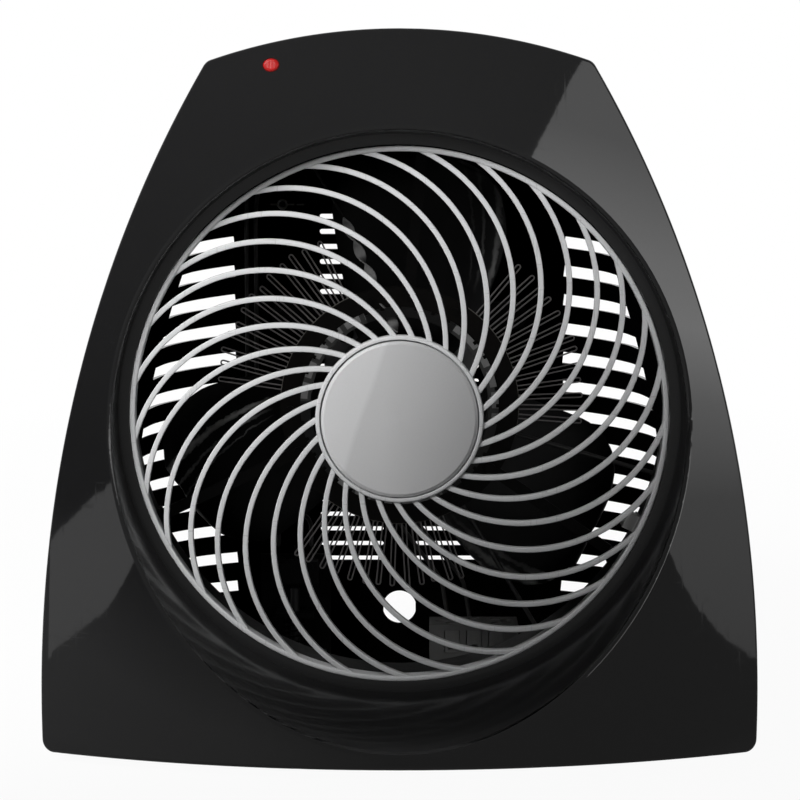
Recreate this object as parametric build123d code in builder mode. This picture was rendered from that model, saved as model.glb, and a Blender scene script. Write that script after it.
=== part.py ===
"""Portable whole-room fan heater, built as separate named pieces.

Millimetres, +Z up, front towards -Y, origin on the floor under the middle of the body.
The fan axis runs along Y at height AXIS_Z.
"""
from build123d import *
from math import acos, cos, degrees, radians, sin, tan
import os

os.makedirs("parts", exist_ok=True)

# ---------------------------------------------------------------- driving sizes
# cabinet outline, measured on the front plane
FRONT_Y = -100.0
REAR_Y = 100.0
PART_Y = -30.0
BODY_Z = 4.0
AXIS_Z = 130.8
BODY_HALF_WIDTH = 140.3
SIDE_RADIUS = 454.8
WIDEST_Z = 35.8
TOP_Z = 281.9
TOP_RADIUS = 237.7
FRONT_DRAFT = 5.0
REAR_DRAFT = 10.0
REAR_ROUND = 38.0
CORNER_ROUND = 5.0
FOOT_ROUND = 5.0
WALL = 2.5
PART_GAP = 0.3
FIT = 0.1
# front face
FASCIA_RADIUS = 340.0
FASCIA_LEAN = 8.0
FASCIA_EDGE = 1.2
DISH_EDGE = 1.6
# dish and grille
RING_Y = -50.0
THROAT_R = 108.4
DISH_MID_R = 113.5
DISH_MID_DEPTH = 31.0
MOUTH_R = 129.8
MOUTH_DEPTH = 62.0
RING_R = 103.7
RING_WIDTH = 2.1
LEDGE_GAP = 0.5
LEDGE_THICK = 2.2
RIB_COUNT = 29
RIB_WIDTH = 2.05
RIB_DEPTH = 3.2
RIB_BOW_R = 59.4
RIB_BOW_OFFSET = 50.5
RIB_BOW_ANGLE = 83.8
HUB_R = 32.2
HUB_RISE = 8.5
BADGE_R = 30.0
BADGE_THICK = 2.4
LUG_THICK = 2.0
LUG_R = 113.0
GRILLE_LUG_ANGLES = (20.0, 160.0, 200.0, 340.0)
DUCT_LUG_ANGLES = (40.0, 140.0, 220.0, 320.0)
# screws
SCREW_R = 1.5
SCREW_HEAD_R = 2.9
SCREW_HEAD_H = 1.8
BOSS_R = 3.9
# duct
DUCT_R = 105.0
DUCT_WALL = 2.0
DUCT_REAR_Y = -8.0
# heating element
COIL_Y = -13.5
COIL_WIRE = 0.6
COIL_IN_R = 41.0
COIL_OUT_R = 73.8
HAIRPINS = 12
HAIRPIN_PITCH = 5.0
SECTOR_ANGLES = (22.0, 144.0, 263.0)
LEG_ANGLES = (85.0, 205.0, 325.0)
MICA_IN_R = 37.0
MICA_OUT_R = 47.6
MICA_THICK = 0.8
DRUM_R = 36.5
DRUM_WALL = 1.0
DRUM_LENGTH = 16.0
FLANGE_R = 39.5
# fan and motor
SHAFT_R = 3.0
RUN_FIT = 0.05
FAN_FRONT_Y = 8.0
FAN_LENGTH = 38.0
FAN_HUB_R = 28.0
FAN_TIP_R = 98.0
BLADE_THICK = 2.2
MOTOR_Y = 50.0
COVER_LENGTH = 10.0
CORE_LENGTH = 20.0
CORE_SIZE = 64.0
ROTOR_R = 16.0
AIR_GAP = 0.4
MOTOR_BOLT_OFFSET = 23.0
BRACKET_THICK = 1.5
BRACKET_HALF = 50.0
BRACKET_BOSS_Z = 27.0
ISOLATOR_THICK = 1.8
# rear openings
BANK_PITCH = 6.6
BANK_OPEN = 2.2
BANK_ROWS = 24
BANK_BOTTOM = 49.2
BANK_IN_X = 7.0
BANK_OUT_X = 35.0
VENT_PITCH = 12.8
VENT_OPEN = 5.0
VENT_ROWS = 13
VENT_SLOPE = 5.7
VENT_BOTTOM = 36.6
VENT_IN_X = 72.0
VENT_FRONT_Y = 58.0
INLET_WIDTH = 14.3
INLET_R = 7.5
INLET_Z = 27.0
# lead clips moulded inside the rear wall
CLIP_X = (-51.0, 46.0)
CLIP_Z = 206.0
CLIP_R = 2.6
CLIP_REACH = 6.0
RIB_THICK = 0.9
# controls on the top
PANEL_Y = 20.0
PANEL_WIDTH = 92.0
PANEL_LENGTH = 54.0
PANEL_THICK = 3.0
POCKET_DEPTH = 8.0
KNOB_X = 26.0
KNOB_R = 15.0
KNOB_HEIGHT = 12.5
SPINDLE_R = 3.0
# underside
PLATE_THICK = 1.8
PLATE_WIDTH = 190.0
PLATE_FRONT_Y = -62.0
PLATE_REAR_Y = 84.0
FOOT_R = 9.0
FOOT_X = 82.0
FOOT_FRONT_Y = -48.0
FOOT_REAR_Y = 70.0
PLUNGER_X = -45.0
PLUNGER_Y = 60.0
PLUNGER_R = 3.5
# indicator
LAMP_X = -48.2
LAMP_Z = 264.8
LENS_WIDTH = 6.2
LENS_HEIGHT = 5.0

# ---------------------------------------------------------------- shared planes and shapes
SPIN = Axis((0, 0, AXIS_Z), (0, 1, 0))
WELLS = ((104.0, 24.0), (-104.0, 24.0), (52.0, 233.0), (-52.0, 233.0))

FLOOR_Z = BODY_Z + WALL
BASE_SPOTS = ((-60.0, -46.0), (60.0, -46.0), (-70.0, 44.0), (70.0, 44.0))
FOOT_SPOTS = ((-FOOT_X, FOOT_FRONT_Y), (FOOT_X, FOOT_FRONT_Y), (-FOOT_X, FOOT_REAR_Y), (FOOT_X, FOOT_REAR_Y))
GUIDE_SPOTS = ((PLUNGER_X - 11.0, PLUNGER_Y), (PLUNGER_X + 11.0, PLUNGER_Y))
BLOCK_X = 32.0
BLOCK_Y = 62.0
BLOCK_SPOTS = ((BLOCK_X - 14.0, BLOCK_Y), (BLOCK_X + 14.0, BLOCK_Y))


def front_plane(y):
    """Plane facing the front at distance y, centred on the fan axis."""
    return Plane(origin=(0, y, AXIS_Z), x_dir=(1, 0, 0), z_dir=(0, -1, 0))


def polar(radius, angle):
    return (radius * cos(radians(angle)), radius * sin(radians(angle)))


def rod_y(x, z, radius, y0, y1, mode=Mode.ADD):
    """Cylinder along Y."""
    with Locations(Location((x, (y0 + y1) / 2, z), (90, 0, 0))):
        Cylinder(radius, y1 - y0, mode=mode)


def rod_polar(radius, angle, rod_radius, y0, y1, mode=Mode.ADD):
    """Cylinder along Y, placed round the fan axis."""
    x, z = polar(radius, angle)
    rod_y(x, AXIS_Z + z, rod_radius, y0, y1, mode)


def rod_z(x, y, radius, z0, z1, mode=Mode.ADD):
    with Locations((x, y, (z0 + z1) / 2)):
        Cylinder(radius, z1 - z0, mode=mode)


def block(x0, x1, y0, y1, z0, z1, mode=Mode.ADD):
    with Locations(((x0 + x1) / 2, (y0 + y1) / 2, (z0 + z1) / 2)):
        Box(x1 - x0, y1 - y0, z1 - z0, mode=mode)


def on_plane(plane, x, y, h0, h1):
    """Location of a solid standing on a plane between two heights."""
    return Locations(plane.location * Location((x, y, (h0 + h1) / 2)))


def turned(points, mode=Mode.ADD):
    """Solid of revolution about the fan axis from (radius, y) points."""
    with BuildSketch(Plane.XY.offset(AXIS_Z), mode=Mode.PRIVATE) as profile:
        with BuildLine():
            Polyline(*points, close=True)
        make_face()
    revolve(profile.sketch, axis=SPIN, mode=mode)


def save(builder, name):
    builder.part.label = name
    export_step(builder.part, "parts/" + name + ".step")


def draft_inset(y):
    """How far the outline has drawn in at distance y."""
    if y <= PART_Y:
        return (y - FRONT_Y) * tan(radians(FRONT_DRAFT))
    front = (PART_Y - FRONT_Y) * tan(radians(FRONT_DRAFT))
    return front + (y - PART_Y) * tan(radians(REAR_DRAFT))


def cabinet_outline(inset):
    """Arched top and bowed sides, drawn in by inset; open below the floor line."""
    side_x = SIDE_RADIUS - BODY_HALF_WIDTH
    with Locations((-side_x, WIDEST_Z)):
        Circle(SIDE_RADIUS - inset)
    with Locations((side_x, WIDEST_Z)):
        Circle(SIDE_RADIUS - inset, mode=Mode.INTERSECT)
    with Locations((0, TOP_Z - TOP_RADIUS)):
        Circle(TOP_RADIUS - inset, mode=Mode.INTERSECT)
    with Locations((0, TOP_Z / 2)):
        Rectangle(3 * BODY_HALF_WIDTH, 2 * TOP_Z, mode=Mode.INTERSECT)


BLOCK_FRONT_Y = FRONT_Y - 4.0
FRONT_FACE = Plane(origin=(0, FRONT_Y, BODY_Z), x_dir=(1, 0, 0),
                   z_dir=(0, sin(radians(FASCIA_LEAN)), cos(radians(FASCIA_LEAN))))
PARTING = Plane.XZ.offset(-PART_Y)

LAMP_Y = FRONT_Y + (LAMP_Z - BODY_Z) * tan(radians(FASCIA_LEAN)) + LAMP_X ** 2 / (2 * FASCIA_RADIUS)
LAMP_PLANE = Plane(origin=(LAMP_X, LAMP_Y, LAMP_Z), x_dir=(1, LAMP_X / FASCIA_RADIUS, 0),
                   z_dir=(LAMP_X / FASCIA_RADIUS, -1, tan(radians(FASCIA_LEAN))))

# outer form of the closed cabinet
with BuildPart() as hull:
    with BuildSketch(Plane.XZ.offset(-BLOCK_FRONT_Y)):
        cabinet_outline(draft_inset(BLOCK_FRONT_Y))
    extrude(amount=-(PART_Y - BLOCK_FRONT_Y), taper=FRONT_DRAFT)
    with BuildSketch(PARTING):
        cabinet_outline(draft_inset(PART_Y))
    extrude(amount=-(REAR_Y - PART_Y), taper=REAR_DRAFT)
    fillet(hull.faces().sort_by(Axis.Y)[-1].edges().sort_by(Axis.Z)[1:], REAR_ROUND)
    split(bisect_by=Plane.XY.offset(BODY_Z), keep=Keep.TOP)
    top_seams = hull.edges().filter_by(
        lambda e: abs(abs(e.center().X) - 68) < 14 and e.center().Z > AXIS_Z + 100)
    fillet(top_seams, CORNER_ROUND)
    floor_edges = hull.edges().filter_by(
        lambda e: e.center().Z < BODY_Z + 0.1 and abs(e.center().X) > 100)
    fillet(floor_edges, FOOT_ROUND)

# room inside the walls
with BuildPart() as hollow:
    with BuildSketch(Plane.XZ.offset(-BLOCK_FRONT_Y)):
        cabinet_outline(draft_inset(BLOCK_FRONT_Y) + WALL)
    extrude(amount=-(PART_Y - BLOCK_FRONT_Y), taper=FRONT_DRAFT)
    with BuildSketch(PARTING):
        cabinet_outline(draft_inset(PART_Y) + WALL)
    extrude(amount=-(REAR_Y - WALL - PART_Y), taper=REAR_DRAFT)
    fillet(hollow.faces().sort_by(Axis.Y)[-1].edges().sort_by(Axis.Z)[1:], REAR_ROUND - WALL)
    split(bisect_by=Plane.XY.offset(BODY_Z + WALL), keep=Keep.TOP)

with BuildPart() as front_hollow:
    add(hollow.part)
    split(bisect_by=PARTING, keep=Keep.TOP)
    with BuildSketch(FRONT_FACE.offset(-90)):
        with Locations((0, FASCIA_RADIUS)):
            Circle(FASCIA_RADIUS - WALL)
    extrude(amount=420, mode=Mode.INTERSECT)

# ---------------------------------------------------------------- front shell
DISH_BACK_Y = RING_Y + 2.9
LEDGE_R = RING_R + LEDGE_GAP
LEDGE_FRONT_Y = DISH_BACK_Y - LEDGE_THICK
DUCT_SEAT_Y = DISH_BACK_Y + LUG_THICK + 0.5
with BuildPart() as front_shell:
    add(hull.part)
    split(bisect_by=PARTING.offset(PART_GAP / 2), keep=Keep.TOP)
    add(front_hollow.part, mode=Mode.SUBTRACT)
    with BuildSketch(Plane.XY.offset(AXIS_Z)):
        with BuildLine():
            l1 = Line((0, DISH_BACK_Y), (THROAT_R + WALL, DISH_BACK_Y))
            l2 = Line(l1 @ 1, (THROAT_R + WALL, RING_Y))
            l3 = ThreePointArc(l2 @ 1, (DISH_MID_R + WALL, RING_Y - DISH_MID_DEPTH),
                               (MOUTH_R + WALL, RING_Y - MOUTH_DEPTH))
            l4 = Line(l3 @ 1, (0, RING_Y - MOUTH_DEPTH))
            Line(l4 @ 1, l1 @ 0)
        make_face()
    revolve(axis=SPIN)
    for angle in GRILLE_LUG_ANGLES:
        rod_polar(LUG_R, angle, BOSS_R, RING_Y - 14, DISH_BACK_Y)
    for angle in DUCT_LUG_ANGLES:
        rod_polar(LUG_R, angle, BOSS_R, RING_Y - 14, DUCT_SEAT_Y)
    for x, z in WELLS:
        rod_y(x, z, BOSS_R + 0.6, FRONT_Y - 3, PART_Y - PART_GAP / 2)
    for x, y in BASE_SPOTS[:2]:
        rod_z(x, y, BOSS_R, BODY_Z, BODY_Z + 11)
    with BuildSketch(FRONT_FACE.offset(-90)):
        with Locations((0, FASCIA_RADIUS)):
            Circle(FASCIA_RADIUS)
    extrude(amount=420, mode=Mode.INTERSECT)
    face = front_shell.faces().filter_by(lambda f: f.area > 30000).sort_by(Axis.Y)[0]
    fillet(face.outer_wire().edges(), FASCIA_EDGE)
    with BuildSketch(Plane.XY.offset(AXIS_Z)):
        with BuildLine():
            l1 = Line((0, LEDGE_FRONT_Y), (THROAT_R, LEDGE_FRONT_Y))
            l2 = Line(l1 @ 1, (THROAT_R, RING_Y))
            l3 = ThreePointArc(l2 @ 1, (DISH_MID_R, RING_Y - DISH_MID_DEPTH),
                               (MOUTH_R, RING_Y - MOUTH_DEPTH))
            l4 = Line(l3 @ 1, (0, RING_Y - MOUTH_DEPTH))
            Line(l4 @ 1, l1 @ 0)
        make_face()
    revolve(axis=SPIN, mode=Mode.SUBTRACT)
    rod_y(0, AXIS_Z, LEDGE_R, LEDGE_FRONT_Y - 1, DISH_BACK_Y + 1, Mode.SUBTRACT)
    for angle in GRILLE_LUG_ANGLES:
        rod_polar(LUG_R, angle, SCREW_R - 0.2, RING_Y - 9, DISH_BACK_Y + 1, Mode.SUBTRACT)
    for angle in DUCT_LUG_ANGLES:
        rod_polar(LUG_R, angle, SCREW_R - 0.2, RING_Y - 9, DUCT_SEAT_Y + 1, Mode.SUBTRACT)
    for x, z in WELLS:
        rod_y(x, z, SCREW_R - 0.2, PART_Y - 20, PART_Y + 1, Mode.SUBTRACT)
    for x, y in BASE_SPOTS[:2]:
        rod_z(x, y, SCREW_R - 0.2, BODY_Z - 1, BODY_Z + 9.5, Mode.SUBTRACT)
    rim = front_shell.edges().filter_by(GeomType.BSPLINE).filter_by(
        lambda e: e.bounding_box().size.X > 200 and e.bounding_box().size.Z > 200)
    fillet(rim, DISH_EDGE)
    with BuildSketch(LAMP_PLANE.offset(-8)):
        Ellipse(LENS_WIDTH / 2 + FIT, LENS_HEIGHT / 2 + FIT)
    extrude(amount=12, mode=Mode.SUBTRACT)
save(front_shell, "front_shell")

# ---------------------------------------------------------------- grille and badge
HUB_FRONT_Y = RING_Y - HUB_RISE - 1.5
HUB_FLOOR_Y = HUB_FRONT_Y + BADGE_THICK + 0.2


def rib_point(radius, index):
    """Point of one bowed rib at a distance from the axis, seen from the front."""
    turn = acos((radius ** 2 + RIB_BOW_OFFSET ** 2 - RIB_BOW_R ** 2) / (2 * radius * RIB_BOW_OFFSET))
    return polar(radius, RIB_BOW_ANGLE + index * 360 / RIB_COUNT - degrees(turn))


with BuildPart() as rib_dome:
    with BuildSketch(Plane.XY.offset(AXIS_Z)):
        with BuildLine():
            l1 = ThreePointArc((0, HUB_FRONT_Y + 0.4), (HUB_R + 22, HUB_FRONT_Y + 2.6),
                               (RING_R, RING_Y - 1.4))
            l2 = Line(l1 @ 1, (RING_R, RING_Y - 1.4 + RIB_DEPTH))
            l3 = ThreePointArc(l2 @ 1, (HUB_R + 22, HUB_FRONT_Y + 2.6 + RIB_DEPTH),
                               (0, HUB_FRONT_Y + 0.4 + RIB_DEPTH))
            Line(l3 @ 1, l1 @ 0)
        make_face()
    revolve(axis=SPIN)

with BuildPart() as front_grille:
    with BuildSketch(front_plane(HUB_FRONT_Y - 3)):
        for index in range(RIB_COUNT):
            with BuildLine():
                ThreePointArc(rib_point(HUB_R - 1, index), rib_point((HUB_R + RING_R) / 2, index),
                              rib_point(RING_R - 1, index))
            trace(line_width=RIB_WIDTH)
    extrude(amount=-20)
    add(rib_dome.part, mode=Mode.INTERSECT)
    turned(((RING_R - RING_WIDTH, RING_Y - 2.2), (RING_R, RING_Y - 2.2),
            (RING_R, DISH_BACK_Y + FIT + LUG_THICK), (RING_R - RING_WIDTH, DISH_BACK_Y + FIT + LUG_THICK)))
    for angle in GRILLE_LUG_ANGLES:
        with BuildSketch(front_plane(DISH_BACK_Y + FIT)):
            with Locations(Location((*polar((RING_R + LUG_R) / 2, angle), 0), (0, 0, angle))):
                Rectangle(LUG_R - RING_R + 2, 9)
            with Locations(polar(LUG_R, angle)):
                Circle(4.5)
        extrude(amount=-LUG_THICK)
        rod_polar(LUG_R, angle, SCREW_R + 0.2, RING_Y, RING_Y + 9, Mode.SUBTRACT)
    turned(((0, HUB_FLOOR_Y), (BADGE_R + 0.5, HUB_FLOOR_Y), (BADGE_R + 0.5, HUB_FRONT_Y),
            (HUB_R, HUB_FRONT_Y + 0.8), (HUB_R, HUB_FLOOR_Y + 2.4), (0, HUB_FLOOR_Y + 2.4)))
    rod_y(0, AXIS_Z, 3.2, HUB_FLOOR_Y - 1, HUB_FLOOR_Y + 4, Mode.SUBTRACT)
save(front_grille, "front_grille")

with BuildPart() as centre_badge:
    turned(((0, HUB_FRONT_Y), (BADGE_R - 1.2, HUB_FRONT_Y), (BADGE_R, HUB_FRONT_Y + 0.8),
            (BADGE_R, HUB_FLOOR_Y - FIT), (3.0, HUB_FLOOR_Y - FIT), (3.0, HUB_FLOOR_Y + 3.6), (0, HUB_FLOOR_Y + 3.6)))
save(centre_badge, "centre_badge")


def screw_y(x, z, seat_y, length, front=True):
    """Pan-head screw along Y: head behind the seat when driven from the back."""
    head = SCREW_HEAD_H if front else -SCREW_HEAD_H
    rod_y(x, z, SCREW_HEAD_R, min(seat_y, seat_y + head), max(seat_y, seat_y + head))
    reach = -length if front else length
    rod_y(x, z, SCREW_R - 0.25, min(seat_y, seat_y + reach), max(seat_y, seat_y + reach))
    far = seat_y + head
    block(x - 2, x + 2, min(far, far - head / 3), max(far, far - head / 3),
          z - 0.4, z + 0.4, Mode.SUBTRACT)


# ---------------------------------------------------------------- air duct
with BuildPart() as air_duct:
    turned(((DUCT_R, DUCT_SEAT_Y + FIT), (DUCT_R + DUCT_WALL, DUCT_SEAT_Y + FIT),
            (DUCT_R + DUCT_WALL, DUCT_REAR_Y - 4), (DUCT_R + DUCT_WALL + 3, DUCT_REAR_Y),
            (DUCT_R + 3, DUCT_REAR_Y), (DUCT_R, DUCT_REAR_Y - 4)))
    for angle in DUCT_LUG_ANGLES:
        with BuildSketch(front_plane(DUCT_SEAT_Y + FIT)):
            with Locations(Location((*polar((DUCT_R + 1 + LUG_R) / 2, angle), 0), (0, 0, angle))):
                Rectangle(LUG_R - DUCT_R - 1, 9)
            with Locations(polar(LUG_R, angle)):
                Circle(4.5)
        extrude(amount=-LUG_THICK)
        rod_polar(LUG_R, angle, SCREW_R + 0.2, DUCT_SEAT_Y - 1, DUCT_SEAT_Y + 5, Mode.SUBTRACT)
    for angle in LEG_ANGLES:
        with BuildSketch(Plane(origin=(polar(DUCT_R - 3, angle)[0], COIL_Y - 5, AXIS_Z + polar(DUCT_R - 3, angle)[1]),
                               x_dir=(0, 1, 0), z_dir=(cos(radians(angle)), 0, sin(radians(angle))))):
            Circle(1.5)
        extrude(amount=8, mode=Mode.SUBTRACT)
save(air_duct, "air_duct")


def screw_round(radius, angle, y, reach, head_in=True):
    """Screw pointing away from the fan axis, head on the inside."""
    x, z = polar(radius, angle)
    plane = Plane(origin=(x, y, AXIS_Z + z), x_dir=(0, 1, 0),
                  z_dir=(cos(radians(angle)), 0, sin(radians(angle))))
    with on_plane(plane, 0, 0, -SCREW_HEAD_H, 0):
        Cylinder(SCREW_HEAD_R, SCREW_HEAD_H)
    with on_plane(plane, 0, 0, 0, reach):
        Cylinder(SCREW_R - 0.25, reach)
    with on_plane(plane, 0, 0, -SCREW_HEAD_H, -SCREW_HEAD_H + 0.6):
        Box(4, 0.8, 0.6, mode=Mode.SUBTRACT)


with BuildPart() as inner_screws:
    for angle in GRILLE_LUG_ANGLES:
        x, z = polar(LUG_R, angle)
        screw_y(x, AXIS_Z + z, DISH_BACK_Y + LUG_THICK + 2 * FIT, 8)
    for angle in DUCT_LUG_ANGLES:
        x, z = polar(LUG_R, angle)
        screw_y(x, AXIS_Z + z, DUCT_SEAT_Y + LUG_THICK + 2 * FIT, 8)
save(inner_screws, "inner_screws")

# ---------------------------------------------------------------- heating element
COIL_FRONT_Y = COIL_Y - COIL_WIRE / 2
COIL_BACK_Y = COIL_Y + COIL_WIRE / 2
MICA_FRONT_Y = COIL_FRONT_Y - FIT - MICA_THICK
MICA_BACK_Y = COIL_BACK_Y + FIT
LEG_Y = MICA_BACK_Y + MICA_THICK + FIT
LEG_THICK = 1.0
RIVET_R = 1.3
RIVET_AT = 44.2
PIN_AT = 43.5
PIN_ANGLE = 38.0
FLANGE_THICK = 0.9

with BuildPart() as element_drum:
    turned(((DRUM_R - DRUM_WALL, MICA_FRONT_Y - FIT - FLANGE_THICK), (FLANGE_R, MICA_FRONT_Y - FIT - FLANGE_THICK),
            (FLANGE_R, MICA_FRONT_Y - FIT), (DRUM_R, MICA_FRONT_Y - FIT),
            (DRUM_R, MICA_FRONT_Y + DRUM_LENGTH), (DRUM_R - DRUM_WALL, MICA_FRONT_Y + DRUM_LENGTH)))
    with BuildSketch(front_plane(MICA_FRONT_Y - 3)):
        with PolarLocations(FLANGE_R, 36):
            Rectangle(2.2, 1.6)
    extrude(amount=-3, mode=Mode.SUBTRACT)
save(element_drum, "element_drum")


def mica_ring(y):
    with BuildSketch(front_plane(y), mode=Mode.PRIVATE) as ring:
        Circle(MICA_OUT_R)
        Circle(MICA_IN_R, mode=Mode.SUBTRACT)
        for angle in LEG_ANGLES:
            with Locations(polar(RIVET_AT, angle)):
                Circle(RIVET_R + FIT, mode=Mode.SUBTRACT)
        for centre in SECTOR_ANGLES:
            for turn in (-PIN_ANGLE, PIN_ANGLE):
                with Locations(polar(PIN_AT, centre + turn)):
                    Circle(0.8 + FIT, mode=Mode.SUBTRACT)
    extrude(ring.sketch, amount=-MICA_THICK)


with BuildPart() as mica_front:
    mica_ring(MICA_FRONT_Y)
save(mica_front, "mica_front")

with BuildPart() as mica_rear:
    mica_ring(MICA_BACK_Y)
save(mica_rear, "mica_rear")


def hairpin_coil(centre):
    """Flat zig-zag of resistance wire lying in one plane."""
    legs = 2 * HAIRPINS
    first = centre - (legs - 1) * HAIRPIN_PITCH / 4
    with BuildSketch(front_plane(COIL_FRONT_Y), mode=Mode.PRIVATE) as zigzag:
        for index in range(legs):
            angle = first + index * HAIRPIN_PITCH / 2
            middle = polar((COIL_IN_R + COIL_OUT_R) / 2, angle)
            with Locations(Location((*middle, 0), (0, 0, angle))):
                Rectangle(COIL_OUT_R - COIL_IN_R + COIL_WIRE, COIL_WIRE)
            if index < legs - 1:
                bend_r = COIL_OUT_R if index % 2 == 0 else COIL_IN_R
                half = angle + HAIRPIN_PITCH / 4
                chord = 2 * bend_r * sin(radians(HAIRPIN_PITCH / 4)) + COIL_WIRE
                with Locations(Location((*polar(bend_r * cos(radians(HAIRPIN_PITCH / 4)), half), 0), (0, 0, half))):
                    Rectangle(COIL_WIRE, chord)
    extrude(zigzag.sketch, amount=-COIL_WIRE)


with BuildPart() as heating_coil_1:
    hairpin_coil(SECTOR_ANGLES[0])
save(heating_coil_1, "heating_coil_1")

with BuildPart() as heating_coil_2:
    hairpin_coil(SECTOR_ANGLES[1])
save(heating_coil_2, "heating_coil_2")

with BuildPart() as heating_coil_3:
    hairpin_coil(SECTOR_ANGLES[2])
save(heating_coil_3, "heating_coil_3")

LEG_FOOT_R = DUCT_R - 0.3
LEG_SCREW_Y = COIL_Y - 5
with BuildPart() as element_legs:
    for angle in LEG_ANGLES:
        with BuildSketch(front_plane(LEG_Y)):
            with Locations(Location((*polar((DRUM_R + 1.5 + LEG_FOOT_R) / 2, angle), 0), (0, 0, angle))):
                Rectangle(LEG_FOOT_R - DRUM_R - 1.5, 4.5)
            with Locations(polar(RIVET_AT, angle)):
                Circle(RIVET_R + FIT, mode=Mode.SUBTRACT)
        extrude(amount=-LEG_THICK)
        foot = Plane(origin=(polar(LEG_FOOT_R, angle)[0], 0, AXIS_Z + polar(LEG_FOOT_R, angle)[1]),
                     x_dir=(0, 1, 0), z_dir=(cos(radians(angle)), 0, sin(radians(angle))))
        with on_plane(foot, (LEG_SCREW_Y - 3.5 + LEG_Y + LEG_THICK) / 2, 0, -LEG_THICK, 0):
            Box(LEG_Y + LEG_THICK - LEG_SCREW_Y + 3.5, 7.5, LEG_THICK)
        with on_plane(foot, LEG_SCREW_Y, 0, -2, 2):
            Cylinder(SCREW_R, 4, mode=Mode.SUBTRACT)
save(element_legs, "element_legs")

with BuildPart() as element_screws:
    for angle in LEG_ANGLES:
        screw_round(LEG_FOOT_R - LEG_THICK - FIT, angle, LEG_SCREW_Y, 6)
save(element_screws, "element_screws")

with BuildPart() as mica_rivets:
    for angle in LEG_ANGLES:
        rod_polar(RIVET_AT, angle, RIVET_R, MICA_FRONT_Y - 0.8, LEG_Y + LEG_THICK + 0.9)
        rod_polar(RIVET_AT, angle, RIVET_R + 0.9, MICA_FRONT_Y - 0.9, MICA_FRONT_Y - FIT)
        rod_polar(RIVET_AT, angle, RIVET_R + 0.7, LEG_Y + LEG_THICK + FIT, LEG_Y + LEG_THICK + 0.9)
save(mica_rivets, "mica_rivets")

BEAD_LENGTH = 7.0
BEAD_Y = MICA_BACK_Y + MICA_THICK + FIT
with BuildPart() as ceramic_beads:
    for centre in SECTOR_ANGLES:
        for turn in (-PIN_ANGLE, PIN_ANGLE):
            rod_polar(PIN_AT, centre + turn, 2.4, BEAD_Y, BEAD_Y + BEAD_LENGTH)
            rod_polar(PIN_AT, centre + turn, 0.9, BEAD_Y - 1, BEAD_Y + BEAD_LENGTH + 1, Mode.SUBTRACT)
    fillet(ceramic_beads.edges().filter_by(GeomType.CIRCLE).filter_by(lambda e: e.length > 12), 0.5)
save(ceramic_beads, "ceramic_beads")

with BuildPart() as terminal_pins:
    for centre in SECTOR_ANGLES:
        for turn in (-PIN_ANGLE, PIN_ANGLE):
            rod_polar(PIN_AT, centre + turn, 0.8, MICA_FRONT_Y - 0.9, BEAD_Y + BEAD_LENGTH + 4)
            rod_polar(PIN_AT, centre + turn, 1.5, MICA_FRONT_Y - 0.9, MICA_FRONT_Y - FIT)
save(terminal_pins, "terminal_pins")

# ---------------------------------------------------------------- over-heat protection
CUTOUT_ANGLE = 334.0
CUTOUT_Y = -25.0
with BuildPart() as thermal_cutout:
    spot = Plane(origin=(polar(DUCT_R - 0.3, CUTOUT_ANGLE)[0], CUTOUT_Y,
                         AXIS_Z + polar(DUCT_R - 0.3, CUTOUT_ANGLE)[1]), x_dir=(0, 1, 0),
                 z_dir=(cos(radians(CUTOUT_ANGLE)), 0, sin(radians(CUTOUT_ANGLE))))
    with on_plane(spot, 0, 0, -5.4, -1.0):
        Box(9.0, 6.5, 4.4)
    with on_plane(spot, 2.0, 0, -1.0, 0):
        Box(17.0, 6.5, 1.0)
    with on_plane(spot, 0, 0, -6.0, -5.4):
        Cylinder(2.2, 0.6)
save(thermal_cutout, "thermal_cutout")

FUSE_ANGLE = 205.0
FUSE_Y = LEG_Y + LEG_THICK + 2.3
with BuildPart() as thermal_fuse:
    axis_dir = (cos(radians(FUSE_ANGLE)), 0, sin(radians(FUSE_ANGLE)))
    fuse_plane = Plane(origin=(polar(60, FUSE_ANGLE)[0], FUSE_Y, AXIS_Z + polar(60, FUSE_ANGLE)[1]),
                       x_dir=(0, 1, 0), z_dir=axis_dir)
    with on_plane(fuse_plane, 0, 0, 0, 12):
        Cylinder(2.0, 12)
    with on_plane(fuse_plane, 0, 0, -8, 20):
        Cylinder(0.5, 28)
    with on_plane(fuse_plane, -1.1, 0, 3, 9):
        Box(2.2, 3.0, 6)
save(thermal_fuse, "thermal_fuse")

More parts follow.
